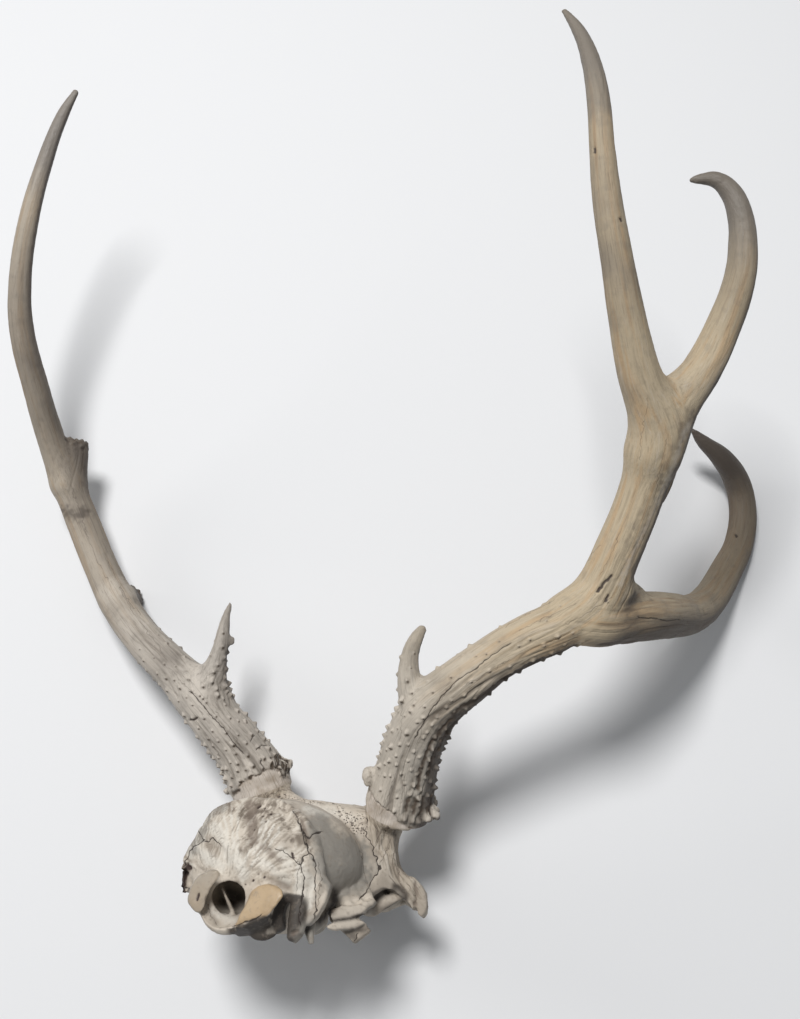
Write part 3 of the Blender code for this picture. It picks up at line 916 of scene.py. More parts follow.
# %% Marks on the right antler
RIGHT_MARKS = {
    "cracks": [
        [(415, 738), (424, 721), (432, 709), (442, 696), (450, 688), (458, 679), (470, 672),
         (478, 667), (483, 662), (493, 654), (504, 647), (510, 643)],
        [(640, 617), (655, 619), (668, 621), (680, 620)]],
    "fine cracks": [
        [(463, 686), (480, 678), (497, 668), (508, 660)], [(400, 740), (402, 712), (405, 690)],
        [(412, 770), (417, 742), (425, 722), (440, 700), (455, 684)],
        [(566, 625), (590, 612), (612, 598)], [(520, 630), (548, 616), (576, 604)],
        [(380, 815), (386, 800), (392, 780)], [(399, 815), (402, 796), (405, 775)],
        [(560, 582), (582, 566), (600, 545)], [(600, 575), (612, 552), (622, 528)],
        [(505, 628), (530, 612), (555, 600)], [(655, 500), (660, 470), (668, 440)],
        [(640, 460), (643, 425), (648, 398)]],
    "scars": [
        [(597, 592), (604, 584), (611, 576)], [(606, 601), (609, 596)], [(735, 535), (736, 536)],
        [(621, 219), (622, 221)], [(594, 149), (594, 152)]],
    "grooves": [
        [(418, 790), (420, 772), (425, 758), (430, 745), (448, 723), (464, 706), (481, 698),
         (497, 686), (515, 674), (531, 664), (553, 656), (575, 648)],
        [(428, 775), (434, 755), (446, 735), (462, 717)], [(597, 648), (620, 644), (650, 642)],
        [(414, 814), (416, 800)], [(421, 816), (424, 798)], [(429, 812), (432, 796)],
        [(406, 812), (409, 800)]],
    "bare": [
        [(352, 776), (362, 785), (368, 790), (376, 801), (384, 808), (394, 816), (402, 825),
         (419, 832), (440, 832)]],
    # Painted shade along the rear branch's right edge.
    "shade and stains": [[(690, 412), (678, 440), (663, 470), (652, 495), (640, 522), (630, 546)]],
    "glints": [
        [(688, 424), (676, 458), (666, 483), (656, 506), (646, 527), (636, 549), (628, 566),
         (620, 584)]]}
carve_antler(
    right_skin,
    [(RIGHT_BEAM, 0, ([0, 120, 190, 260, 420], [1, 0.85, 0.5, 0.28, 0.08]),
      ([0, 235, 270, 318, 345, 400, 470], [0, 0, 0, 0.12, 0.36, 0.46, 0.38])),
     (RIGHT_FRONT, 190, ([0, 40, 120, 260], [0.5, 0.45, 0.3, 0.1]),
      ([0, 28, 70, 140, 210, 300], [0, 0.25, 0.36, 0.42, 0.66, 0.95])),
     (RIGHT_HOOK, 270, ([0, 40, 120], [0.3, 0.2, 0.08]), ([0, 50, 90, 140], [0, 0.1, 0.45, 0.45])),
     (RIGHT_BROW, 60, ([0, 20, 60], [0.8, 0.5, 0.12]), ([0, 1], [0, 0]))],
    right_pearls, RIGHT_MARKS, [], RIGHT_OUTER, 11)
print("carved", len(right_skin.data.vertices), "points of the right antler")

# %% Part the right antler
NECK = 0.5                          # station on both beams, just below the burr
pieces = part_pieces(right_skin, [
    (RIGHT_BEAM, NECK, 40), (RIGHT_BEAM, 9.75, 20), (RIGHT_BEAM, 13.1, 16),
    (RIGHT_FRONT, 2.95, 22), (RIGHT_HOOK, 1.9, 16)], {
        "right_lower_beam": RIGHT_BEAM[4],
        "right_rear_branch": RIGHT_BEAM[11],
        "right_long_tine": RIGHT_BEAM[17],
        "right_hooked_tine": RIGHT_HOOK[6],
        "right_front_branch": RIGHT_FRONT[8]})

# %% [markdown]
# ## The left antler
#
# It has lost its front branch and its hooked tine, and the stubs end in rough breaks.

# %% Left antler
LEFT_FLARE = (0.85, 0.35, 0.25)
left_skin = grow_antler(
    "left_antler", [LEFT_BEAM, LEFT_BROW, LEFT_FRONT_STUB, LEFT_HOOK_STUB, LEFT_KNOB],
    [((-209, 42, 40), 24, [LEFT_BEAM, LEFT_HOOK_STUB], 2.6),
     ((-110, -99, 65), 30, [LEFT_BEAM, LEFT_BROW], 5)],
    [],
    burr(LEFT_BEAM, LEFT_FLARE, 4)
    + [placed((-97, -158, 36), (4.5, 2.2, 5)), placed((-94.9, -78, 77), (1.8, 2.8, 1.8))], 1)

# %% Left pearls
left_pearls = drawn_pearls(left_skin, LEFT_BEAM, [
    (175, 666, 0.7), (199, 695, 0.7), (206, 702, 0.6), (192, 704, 0.5), (178, 701, 0.4),
    (186, 697, 0.3), (216, 716, 0.6), (204, 718, 0.8), (230, 718, 0.7), (238, 721, 0.6),
    (246, 722, 0.8), (212, 731, 0.6), (212, 746, 0.6), (218, 741, 0.6), (225, 750, 0.4),
    (238, 734, 0.5), (230, 762, 0.4), (245, 720, 0.6), (225, 704, 0.5), (197, 665, 0.4),
    (186, 722, 1.7), (207, 753, 1.9), (217, 767, 1.7), (224, 782, 1.7), (196, 738, 1.2)])
scatter_pearls(LEFT_BEAM, (1.3, 4.9), (0.5, -0.1, 0.6), 6.4, 4, left_pearls)
scatter_pearls(LEFT_BEAM, (1.3, 4.6), (-0.6, -0.8, 0.1), 4.6, 8, left_pearls)
scatter_pearls(LEFT_BROW, (0.5, 3.8), (0.95, -0.1, 0.2), 4.6, 6, left_pearls)
print(len(left_pearls), "pearls on the left")

# %% Marks on the left antler
LEFT_OUTER = (0.7, -0.1, 0.5)
LEFT_MARKS = {
    "cracks": [
        [(190, 691), (200, 702), (210, 714), (222, 727), (233, 742), (243, 753)],
        [(271, 758), (272, 768)], [(275, 755), (276, 769)], [(279, 752), (281, 768)],
        [(284, 752), (284, 771)], [(288, 753), (287, 775)], [(261, 760), (264, 768)],
        [(257, 749), (262, 745), (270, 746)], [(251, 741), (254, 736)]],
    "fine cracks": [
        [(216, 712), (228, 726), (240, 745)], [(120, 590), (140, 622), (165, 655)],
        [(204, 683), (208, 676), (214, 672), (220, 671)], [(108, 560), (122, 590), (140, 615)],
        [(196, 720), (208, 738), (220, 758)], [(85, 530), (95, 556), (108, 580)],
        [(170, 668), (184, 684), (196, 696)], [(70, 480), (78, 508), (88, 532)]],
    "scars": [[(191, 720), (196, 718)]],
    "grooves": [
        [(226, 796), (238, 792)], [(272, 758), (273, 769)], [(277, 755), (278, 770)],
        [(282, 753), (283, 770)], [(286, 752), (287, 772)]],
    "bare": [
        [(218, 800), (232, 797), (238, 790), (242, 781), (250, 778), (256, 776), (262, 773),
         (270, 768), (278, 766), (288, 776), (296, 782)]],
    "shade and stains": [[(66, 512), (74, 516), (84, 512)]],
    "glints": []}
carve_antler(
    left_skin,
    [(LEFT_BEAM, 0, ([0, 70, 120, 200, 420], [0.56, 0.5, 0.42, 0.3, 0.08]),
      ([0, 50, 75, 100, 160, 230, 300, 380, 470],
       [0, 0.02, 0.2, 0.3, 0.36, 0.38, 0.5, 0.5, 0.2])),
     (LEFT_BROW, 60, ([0, 20, 70], [0.7, 0.5, 0.12]), ([0, 20, 70], [0, 0.1, 0.45])),
     (LEFT_FRONT_STUB, 140, ([0, 40], [0.5, 0.8]), ([0, 15], [0.1, 0.8])),
     (LEFT_HOOK_STUB, 230, ([0, 30], [0.4, 0.6]), ([0, 10, 26], [0.2, 0.5, 0.78]))],
    left_pearls, LEFT_MARKS, [(LEFT_HOOK_STUB[-1][:3], 7.5), (LEFT_KNOB[-1][:3], 6)],
    LEFT_OUTER, 31)
print("carved", len(left_skin.data.vertices), "points of the left antler")

# %% Part the left antler
pieces.update(part_pieces(left_skin, [
    (LEFT_BEAM, NECK, 40), (LEFT_BEAM, 6.9, 17), (LEFT_BEAM, 10.2, 13)], {
        "left_lower_beam": LEFT_BEAM[4],
        "left_upper_beam": LEFT_BEAM[8],
        "left_long_tine": LEFT_BEAM[13]}))

# %% [markdown]
# ## The skull
#
# What is left of it is the round braincase, the back wall with the two condyles that
# sat on the neck, the forehead with the pedicles, and the broken root of the face. It
# has a frame of its own: across to its right, forward to the nose and up.

# %% Skull frame and its bones
SKULL_AT = Vector((-39.6, -163.4, 61.6))
SKULL_TURN = Euler([math.radians(angle) for angle in (-93.3, -24.2, -7.9)])


def both(path):
    return [path, [(-across, forward, up, width) for across, forward, up, width in path]]


CREST = [
    (-41, -56, -62, 8), (-36, -60, -40, 6), (-28, -61, -27, 7), (-14, -62, -22, 7),
    (0, -63, -20, 6), (19, -62, -25, 6), (30, -60, -38, 6), (36, -57, -58, 7), (32, -57, -70, 6)]
skull_tubes = [
    CREST,
    [(-40, 4, -18, 26), (0, -8, -18, 25), (38, 4, -18, 24)],
    [(0, -58, -77, 12), (0, -30, -73, 17), (0, 14, -66, 18)],
    [(-30, 0, 2, 10), (-25, 0, -3, 9), (-18, 0, -6.5, 8.5), (-8, -1, -8, 7.5)],
    [(31, 0, 2, 10), (27, 0, -4, 9), (23, 1, -9, 9)],
    [(29, 0, 3, 7), (26, 0, -1, 7), (23, 0, -6, 8)],
    [(29, -14, -64, 16), (33, 2, -75, 7)],
    [(-45, -44, -48, 8), (-43.5, -54, -60, 9), (-42, -57, -69, 7)],
    [(-37.5, -60, -42, 6), (-40.5, -60, -49, 7), (-42, -60, -56, 7), (-42, -60, -63, 6),
     (-40, -60, -68, 6)],
    [(-37, -27, -63, 9), (-44, -14, -58, 8), (-49, -5, -55, 6)]]
for path in (
        [(30, 15, -36, 30), (33, 9, -21, 22), (37, 3, -11, 23), (45, -3, 3, 34), (49, -8, 12, 36)],
        [(37.5, 7, -25, 17), (42.5, 12, -36, 11), (49.5, 18, -44, 11), (55, 25, -51, 8)],
        [(42.5, 12, -36, 12), (48, 18, -46, 9), (50, 22, -51, 5)]):
    skull_tubes += both(path)
skull_balls = [
    ((0, -30, -42), (40, 46, 30)), ((-24, -55, -31), (10, 8, 9)), ((-34, -32, -62), (12, 16, 12)),
    ((-3, -50, -50), (38, 27, 30)), ((-3, -59, -48), (39, 14, 30)), ((-3, 24, -40), (28, 48, 22)),
    ((14, 4, -40), (30, 32, 22)), ((41, 18, -49), (9, 7, 7)),
    ((28, 14, -54), (15, 15, 3.5), (0, 12, 0)), ((-28, 14, -54), (15, 15, 3.5), (0, -12, 0)),
    ((19, -30, -70), (9, 12, 9)), ((-19, -30, -70), (9, 12, 9)),
    ((-6, -69, -72.5), (17.5, 8.5, 16.5)), ((14, -60, -74), (12, 9, 11)),
    ((-22, -58, -66), (14, 9, 14))]
SKULL_VOXEL = 1.3
skull = grow_together(
    [tube(path) for path in skull_tubes] + [ball(*place) for place in skull_balls],
    SKULL_VOXEL, 6, "skull_bone")
print("skull", len(skull.data.polygons), "faces")

# %% [markdown]
# The hollows are cut with Boolean: the foramen magnum, through which the spinal cord
# left the braincase, its shallow bowl, the dark gap beside the right condyle, the ears,
# the eye sockets and the broken front.

# %% Hollows
skull_hollows = [
    ((-7, -78, -75.5), (14, 13, 11.5)), ((-9.3, -62, -69), (10.5, 24, 9.3), (6, 0, 30)),
    ((41, -52, -68.5), (5.5, 16, 9), (0, 0, 30)),
    ((0, -38, -48), (24, 26, 18)), ((26, -58, -75), (5, 20, 9), (0, -8, 22)),
    ((-4, 74, -40), (17, 30, 11)), ((41, -44, -68), (6.5, 10, 7)), ((-44, -37, -70), (5, 6, 5)),
    ((-43, -60, -64), (4, 6, 6)), ((54, 47, -38), (20, 19, 15)), ((-50, 47, -38), (22, 19, 15))]
for place in skull_hollows:
    combine(skull, "DIFFERENCE", ball(*place))
print("skull after the hollows", len(skull.data.polygons), "faces")

# %% [markdown]
# ## Thin and sharp parts
#
# The broken struts of the cheek, the points beside the ear and the bar behind the eye
# are too thin for the first coarse skin. Their outlines are drawn as seen in the
# picture, each corner with its own depth, and follow the line of sight into the skull.

# %% Points on a line of sight
def sight(x, y, forward):
    """Where the line of sight through a pixel meets a depth of the skull's own frame."""
    to_own = SKULL_TURN.to_matrix().transposed()
    way = Vector((x - SHORT_SIDE / 2, LONG_SIDE / 2 - y, -FOCUS))
    way = to_own @ (EYE_TURN.to_matrix() @ way)
    eye = to_own @ (EYE / MM - SKULL_AT)
    return eye + way * ((forward - eye.y) / way.y)


def strut(drawn):
    return tube([(*sight(x, y, forward), width) for x, y, forward, width in drawn])


def plate(drawn, thick):
    front = [sight(*corner) for corner in drawn]
    return slab(front, [corner + Vector((-0.3, 1, 0)) * thick for corner in front])


# %% [markdown]
# The condyles are the two knobs that rolled on the neck. Each has a domed face with a
# sharp rim. A block with the rim's outline, kept only where it is inside an ellipsoid,
# gives both. The block's far end is set so that its underside falls into shade.

# %% Condyles
RIGHT_RIM = [
    (258, 886, -80), (269, 883, -82), (278, 885.5, -82), (283, 890, -81), (283, 897, -80),
    (278, 903.5, -80), (271, 912, -81), (266, 916.5, -82), (257, 918, -82), (249.6, 920, -82),
    (241, 925, -82), (234, 927, -81), (238.5, 916, -80), (245, 906, -80), (248.7, 899, -80),
    (251.5, 891.7, -79)]
RIGHT_FAR = [
    (262, 888), (270, 886), (277, 888), (281, 892), (281, 898), (277, 906), (273, 920), (273, 929),
    (268, 936.5), (260, 938.5), (248, 937), (236, 937.5), (240, 918), (246, 908), (250, 900),
    (254, 893)]
LEFT_RIM = [
    (207, 871, -80), (212.5, 869.5, -80), (217, 870.5, -80), (220, 874, -80), (218.5, 879, -80),
    (214, 883.5, -80), (210.5, 889, -80), (207, 898, -80), (204, 908.5, -81), (200.5, 914.5, -81),
    (195.5, 912.5, -81), (191.5, 908, -80), (188, 903, -80), (187.5, 897, -80), (189.5, 889.5, -80),
    (194, 880.5, -80), (199, 875, -80)]
LEFT_FAR = [
    (206, 873), (210, 872.5), (213.5, 873.5), (215.5, 876), (214, 880), (210, 884), (206.5, 889.5),
    (203, 898), (200, 907), (197.5, 911), (194.5, 910), (191, 906), (188.5, 902), (188, 897),
    (190, 890), (194, 882), (199, 876)]


def condyle(rim, far, depth, middle, half):
    block = slab([sight(*corner) for corner in rim], [sight(x, y, depth) for x, y in far])
    combine(block, "INTERSECT", ball(middle, half))
    return block


# %% Outlines of the thin parts
PLATES = {                          # thickness and corners
    "post of the right orbit": (9, [
        (366, 840, -7), (377, 833, -5), (394, 834, 1), (395.5, 852, 3), (399, 868, 5),
        (407, 875, 8), (414, 878, 10), (421, 885, 13), (425, 893, 15), (427, 904, 17),
        (426, 912, 18), (421.5, 917.5, 18), (418, 914, 16.5), (415.8, 905, 15),
        (412.5, 909.5, 14), (409.5, 904, 12.5), (402, 896.5, 8), (394, 890.5, 4),
        (383.5, 887.5, -2), (373, 892.5, -8), (361, 899, -13), (357, 893, -14), (366, 880, -11),
        (372, 862, -9)]),
    "wall of the right orbit": (4, [
        (364, 910, 3), (374, 899.5, 5), (383.5, 894.5, 7), (392, 893.5, 9), (398, 897, 10),
        (404, 898.6, 11), (394, 903, 10), (384, 910, 8), (374, 916, 5), (366, 916, 4)]),
    "flange beside the ear": (7, [
        (303, 860, -60.5), (310, 857, -60.5), (316, 862, -60), (323, 873, -58),
        (330.5, 884, -55), (330, 888, -55), (328, 893, -56), (323, 906, -58), (317, 916, -60),
        (309, 924, -61), (301, 926, -61), (298, 905, -61), (299, 880, -61)]),
    "spike below the ear": (4, [
        (303, 922, -54), (315, 922, -52), (313.6, 930, -51), (311.6, 936, -50), (310, 938, -50),
        (308, 936, -50), (305.6, 932, -51), (303.8, 928, -52)]),
    "upper cheek bar": (6, [
        (329.5, 914, -44), (334, 911, -42), (338, 910.5, -40), (341, 905, -38), (346, 906.3, -36),
        (353.6, 906, -33), (363, 903, -28.5), (370, 899.3, -25), (374, 898.5, -23),
        (376, 901.3, -22), (373, 905.5, -24), (367, 908.5, -27), (361, 914.2, -30),
        (349.7, 917, -35), (337, 919, -40), (330.5, 918.5, -43)]),
    "lower cheek bar": (6, [
        (326, 925, -43), (334.4, 921.8, -40), (344, 920.4, -36), (355.5, 919, -31),
        (363, 920.6, -28), (365.3, 923.3, -27), (358.4, 927, -30), (349.7, 929.8, -34),
        (338, 929, -39), (334.4, 930.3, -40), (327, 928, -43)]),
    "broken end": (6, [
        (341, 929, -31), (345, 925, -30), (363, 923, -25), (370.5, 930.5, -23), (363, 935.8, -25),
        (357, 940, -27), (353.6, 943, -28), (349.7, 938.7, -29)])}
STRUTS = [                          # the first is the strip in the foramen magnum
    [(222, 887, -64, 2.2), (226, 897, -62, 1.8), (230, 906, -62, 2.4), (233, 913, -64, 3)],
    [(309, 928, -51, 5), (310.5, 938, -50.5, 3.4), (311.5, 944.5, -50, 2.4)],
    [(252, 933, -66, 5), (262, 934.5, -65, 6.4), (270, 932, -64, 6.4), (273, 926, -62, 6)],
    [(303, 880, -58, 9), (300, 900, -60, 9), (297, 920, -62, 9), (295.5, 932, -63, 8.5),
     (291.5, 941, -64, 5.5)],
    [(341, 889, -20, 10), (345, 898, -26, 8), (348, 907, -32, 6)],
    [(350, 889, -16, 10), (354, 897, -22, 8), (358, 904, -28, 6)],
    [(359, 887, -12, 10), (364, 893, -17, 8), (368, 899, -22, 6)],
    [(332, 914, -40, 4.5), (345, 911.5, -33.5, 6), (358, 908.5, -27, 5), (368, 903.5, -22.5, 4.5),
     (372.5, 901.5, -20.5, 4)],
    [(334, 926, -38, 4), (346, 925, -32.5, 5), (360, 923, -25.5, 4)],
    [(345, 905, -20, 10), (348, 915, -26, 8), (350, 923, -29, 7), (355, 930, -25, 7)],
    [(360, 900, -8, 9), (367, 908, 2, 8), (374, 908, 6, 6)]]

# %% Join the thin parts on
THIN_VOXEL = 0.92
skull = grow_together(
    [skull] + [plate(drawn, thick) for thick, drawn in PLATES.values()]
    + [strut(path) for path in STRUTS]
    + [condyle(RIGHT_RIM, RIGHT_FAR, -62, (15, -62, -73), (34, 18.5, 30)),
       condyle(LEFT_RIM, LEFT_FAR, -60, (-20, -62, -69), (26, 17.5, 30))],
    THIN_VOXEL, 2, "skull_bone")
print("skull with its thin parts", len(skull.data.polygons), "faces")

# %% [markdown]
# ## Carving the skull
#
# The nape muscles left a fan of fine ridges on the back wall. Sutures, the seams
# between skull bones, run as dark wiggly lines, dried bone cracks along its grain, and
# where the skin was thin it is porous. The lines below are drawn as they are seen.

# %% Lines drawn on the skull
CRACKS = [
    [(199, 831), (202, 838), (206, 841), (214, 838), (221, 845)],
    [(204, 840), (196, 846), (190, 851), (186, 860), (183, 868)],
    [(276, 849), (284, 852), (291, 857), (296, 863), (300, 865)],
    [(309, 853), (303, 858), (300, 865), (304, 877), (305, 885), (301, 902), (300, 913),
     (301, 924)],
    [(295, 812), (301, 829), (307, 848), (314, 860), (316, 875), (315, 892), (316, 911),
     (314, 918)],
    [(364, 829), (368, 839), (374, 848), (375, 854), (378, 862), (381, 869), (374, 878), (369, 885),
     (365, 892), (360, 898)],
    [(299, 826), (306, 834), (310, 837), (314, 833), (320, 833)],
    [(358, 802), (360, 811), (364, 819), (367, 826)], [(354, 941), (358, 934)],
    [(233, 926), (240, 924), (248, 921), (256, 919), (262, 914)]]
FINE_CRACKS = [
    [(299, 822), (304, 834), (309, 848)], [(322, 880), (319, 890), (319, 900), (315, 914)],
    [(257, 772), (262, 783), (268, 797)], [(270, 795), (279, 791), (290, 789)],
    [(355, 841), (361, 852), (364, 862), (365, 871), (366, 880)], [(240, 775), (243, 790)],
    [(374, 848), (379, 838), (384, 828)], [(380, 862), (388, 850), (392, 838)],
    [(381, 815), (386, 826), (384, 838)], [(388, 806), (392, 820), (388, 834)],
    [(394, 850), (395, 862), (399, 873)], [(409, 885), (414, 893), (417, 904)],
    [(388, 876), (396, 884), (404, 893)], [(300, 862), (297, 880), (296, 900)],
    [(374, 806), (372, 820), (378, 832)], [(318, 862), (320, 872), (323, 880)],
    [(206, 897), (208, 908), (212, 917), (217, 924)]]
PITS = [
    [(292, 853), (293, 857)], [(198, 894), (197, 900)], [(264, 877)], [(253, 881)],
    [(258, 874)], [(246, 884)], [(374, 800)], [(382, 806)], [(257, 806), (260, 805.5)],
    [(264.6, 808)], [(262.5, 816)], [(271, 815)], [(253, 828)], [(294, 858)], [(266, 822)]]
DARK_BREAK = [[(186, 868), (183, 876), (182, 884), (181, 892)]]
POROUS = [[(340, 811), (347, 818), (354, 823), (360, 829)]]
SUTURE = [[(276, 797), (286, 796), (294, 799), (302, 801), (316, 802), (326, 801), (338, 802)],
          [(360, 828), (366, 836)]]
RIDGES = [                          # line, width in pixels and height
    ([(218, 818), (222, 842)], 11, 1.3), ([(272, 818), (282, 842)], 11, 1.2),
    ([(236, 852), (240, 874)], 10, 1.6), ([(250, 862), (285, 872)], 6, 0.8),
    ([(205, 850), (216, 864)], 7, 0.8), ([(290, 806), (298, 824), (306, 846)], 2.2, 0.8)]
STRANDS = [
    [(263.5, 820), (258, 836), (250, 852), (243, 866)], [(268, 822), (262, 838), (254, 854)],
    [(274, 826), (267, 840), (259, 854), (252, 866)], [(280, 829), (272, 842), (264, 854)],
    [(226, 818), (228, 834), (232, 850)], [(232, 816), (233, 832), (236, 850)],
    [(238, 818), (238, 836), (240, 856)], [(222, 826), (225, 842), (231, 858)]]
DIPS = [                            # line, width in pixels and depth
    ([(250, 806), (254, 840)], 6, 1.5), ([(262, 846), (282, 862)], 4, 0.9),
    ([(268, 878), (288, 888)], 4, 1.0), ([(205, 840), (222, 852)], 3.5, 0.7),
    ([(302, 820), (309, 842)], 2.2, 0.8), ([(226, 850), (228, 866)], 3.5, 0.6),
    ([(292, 934), (298, 932)], 2.5, 1.6), ([(415.5, 884), (417, 893), (415.5, 905)], 2, 1.2)]

# %% Places on the skull
skull.data.transform(Matrix.LocRotScale(SKULL_AT * MM, SKULL_TURN, None))
skull.data.update()
points = points_of(skull)
normals = normals_of(skull)
turn = np.array(SKULL_TURN.to_matrix())
own = (points - np.array(SKULL_AT)) @ turn          # across, forward, up
spots = on_picture(points)
seen = facing(points, normals)
rift = to_lines(strayed(spots, 1.8, 74), CRACKS)
fine_rift = to_lines(strayed(spots, 1.6, 75), FINE_CRACKS)
pit = strokes(spots, PITS, 1.5, 0.5, 76) * seen
break_dark = strokes(spots, DARK_BREAK, 4.5, 2.5, 77)
strand = strokes(spots, STRANDS, 1.6, 1.2, 73) * seen
porous = np.maximum(
    strokes(spots, POROUS, 6.5, 3.0, 78), strokes(spots, SUTURE, 2.2, 1.0, 78)) * seen
holes = ease((noise(points / 1.15, 79) - 0.05) * 3) * porous
print(len(points), "points,", int((seen > 0.5).sum()), "of them look at the camera")

# %% The fan of ridges on the nape
nape = ease((-56 - own[:, 1]) / 5) * ease((own[:, 2] + 66) / 10) * ease((34 - own[:, 0]) / 5)
fan = own[:, [0, 2]] - np.array((-5.0, -72.0))
fan_reach = np.linalg.norm(fan, axis=1)
fan_angle = np.arctan2(fan[:, 0], fan[:, 1]) + 0.10 * noise(own / 9.0, 70)
rays, fine_rays, hairs = (
    noise(np.column_stack((fan_angle * count, fan_reach / length, own[:, 1] / 30)), seed)
    for count, length, seed in ((15, 14, 71), (38, 8, 72), (75, 6, 69)))
print("fan over", int((nape > 0.5).sum()), "points")

# %% [markdown]
# The pedicles' fibres run on down the bars behind the eyes, along a line of their own
# on each side.

# %% Fibres of the pedicles
BAR = [(39, 3, -8, 30), (42, 7, -20, 24), (46, 12, -36, 16), (52, 19, -45, 12), (57, 26, -52, 9),
       (59, 29, -58, 6)]
fibres, pedicle = np.zeros((2, len(points)))
fibre_place = np.zeros((len(points), 3))
for path in both(BAR):
    over, ahead, across, up = lie_on(own, centre_line(path))
    here = ease(1 - (over - 1) / 6)
    furrowed = (0.40 * stretched(across, up, ahead, 3.2, 24, 91)
                + 0.35 * stretched(across, up, ahead, 1.6, 12, 92)
                - 0.5 * furrows(across, up, ahead, 4.5, 40, 0.10, 93))
    fibres += here * furrowed
    fibre_place[here > pedicle] = np.column_stack((across, up, ahead))[here > pedicle]
    pedicle = np.maximum(pedicle, here)
print("fibres on", int((pedicle > 0.5).sum()), "points")

# %% Carve the skull
height = 0.45 * rough_noise(points / 9.0, 81) + 0.12 * rough_noise(points / 1.3, 80) + fibres
height += nape * (0.22 * rays + 0.24 * fine_rays + 0.12 * hairs) + 0.35 * strand
for line, width, rise in RIDGES:
    height += rise * strokes(spots, [line], width) * seen
for line, width, depth in DIPS:
    height -= depth * strokes(spots, [line], width) * seen
height -= 0.45 * np.exp(-(rift / 1.0) ** 2) * seen
height -= 1.2 * pit + 1.8 * break_dark + 0.7 * holes
moved = points + normals * height[:, None]
for path in (RIGHT_BEAM, LEFT_BEAM):
    moved = meet(moved, path, NECK_RADIUS, 7)
place_points(skull, within(moved))
print("carved", len(points), "points of the skull")

# %% [markdown]
# Its tints are brushed on as broad soft strokes: weather has bleached the back wall,
# earth has stained the top, and gristle has left the condyles the colour of honey.
# Painted shade darkens its hollows, gaps and undersides.

# %% Tints of the skull
def brushed(lines, width, seed):
    return strokes(spots, lines, width, width * 0.35, seed) * seen


def inside(middle, half, soft=0.25):
    """1 inside an ellipsoid in the skull's own frame."""
    return ease((1 - np.linalg.norm((own - middle) / half, axis=1)) / soft + 0.5)


def face_of(rim):
    """1 inside a condyle's drawn rim."""
    corners = [corner[:2] for corner in rim]
    return ease(0.5 + to_lines(spots, [corners + corners[:1]]) / 2) * ease((-70 - own[:, 1]) / 3)


earthy = np.maximum(brushed(
    [[(248, 808), (252, 822), (251, 836), (246, 846)], [(256, 808), (264, 812), (272, 817)],
     [(243, 812), (246, 822)], [(258, 806), (262, 820)]], 7, 82),
    0.7 * brushed(
        [[(227, 802), (232, 810)], [(244, 806), (252, 803), (272, 804), (286, 811)],
         [(204, 824), (210, 813), (219, 817)], [(276, 814), (284, 822), (292, 840)],
         [(266, 836), (270, 846)], [(300, 842), (296, 832)], [(297, 814), (303, 832), (309, 850)]],
        5, 88))
bleached = np.maximum(0.75 * brushed(
    [[(216, 830), (226, 842), (230, 862)], [(238, 858), (244, 876)], [(262, 862), (285, 880)],
     [(200, 852), (222, 868)], [(300, 868), (298, 912)], [(280, 850), (288, 864)],
     [(308, 808), (332, 812), (350, 818)], [(304, 872), (312, 885), (306, 905)],
     [(216, 912), (230, 920)]], 8, 83), strand)
ashen = np.maximum(
    brushed([[(318, 830), (335, 850)], [(325, 862), (342, 885)], [(352, 850), (356, 880)],
             [(309, 932), (311, 944)]], 15, 86),
    0.95 * brushed([[(192, 848), (198, 832), (207, 816), (222, 804)]], 8, 89),
    0.55 * brushed([[(220, 914), (234, 924)]], 9, 89))
right_condyle = face_of(RIGHT_RIM) * (own[:, 0] > 2)
left_condyle = face_of(LEFT_RIM)
# Painted shade on the faces that look down under the right condyle.
under = inside((14, -68, -84), (17, 15, 12)) * ease((-normals @ turn[:, 2]) * 4 - 0.6)
# Painted shade in the hollow behind the eye socket's rim.
cave_shade = inside((47, 4, -52), (13, 9, 8)) * ease((own[:, 1] - 1) / 3) * (
    1 - strokes(spots, [[(372, 908), (384, 901), (396, 897)]], 6))
# Painted shade in the gap beside the right condyle.
gap = inside((27, -62, -75), (8, 17, 13)) * ease((own[:, 1] + 73) / 3) * ease(-own[:, 2] - 64)
# Painted shade at the lower end of the flange beside the ear.
lug_shade = strokes(spots, [[(292, 940), (299, 934)]], 3.5, 1, 87) * seen
print("condyles", int((right_condyle + left_condyle > 0.5).sum()), "points")

# %% Painted shade in the hollows and on the sides away from the lamp
shade = np.maximum.reduce([
    strokes(spots, [[(228, 892), (238, 897)], [(226, 901), (234, 904)]], 11)
    * ease((own[:, 1] + 72) / 4) * (1 - 0.8 * strokes(spots, [
        [(222, 887), (226, 897), (230, 906), (233, 913)]], 1.7)),
    0.35 * strokes(spots, [[(207, 898), (209, 911), (216, 922)]], 3.5),
    0.35 * strokes(spots, [[(393, 832), (396, 850), (402, 868)]], 5),
    strokes(spots, [[(239, 932), (250, 929), (258, 925), (266, 921)]], 5, 1.5, 90),
    strokes(spots, [[(334, 892), (334, 903), (329, 911), (320, 921)]], 5.6, 1.2, 92)
    * ease((own[:, 1] + 54) / 4),
    strokes(spots, [[(335, 920.6), (350, 918.3), (363, 915)]], 1.9, 0.8, 93),
    0.8 * strokes(spots, [[(260, 931), (270, 930), (279, 922)]], 7, 2, 96)
    * ease((own[:, 1] + 74) / 5),
    0.8 * strokes(spots, [[(350, 931), (358, 930), (366, 929)], [(345, 932), (354, 938)]],
                  4, 2, 94),
    0.6 * strokes(spots, [[(368, 912), (374, 906), (378, 900)]], 3.5, 2, 95)])
print("shade on", int((shade > 0.5).sum()), "points")

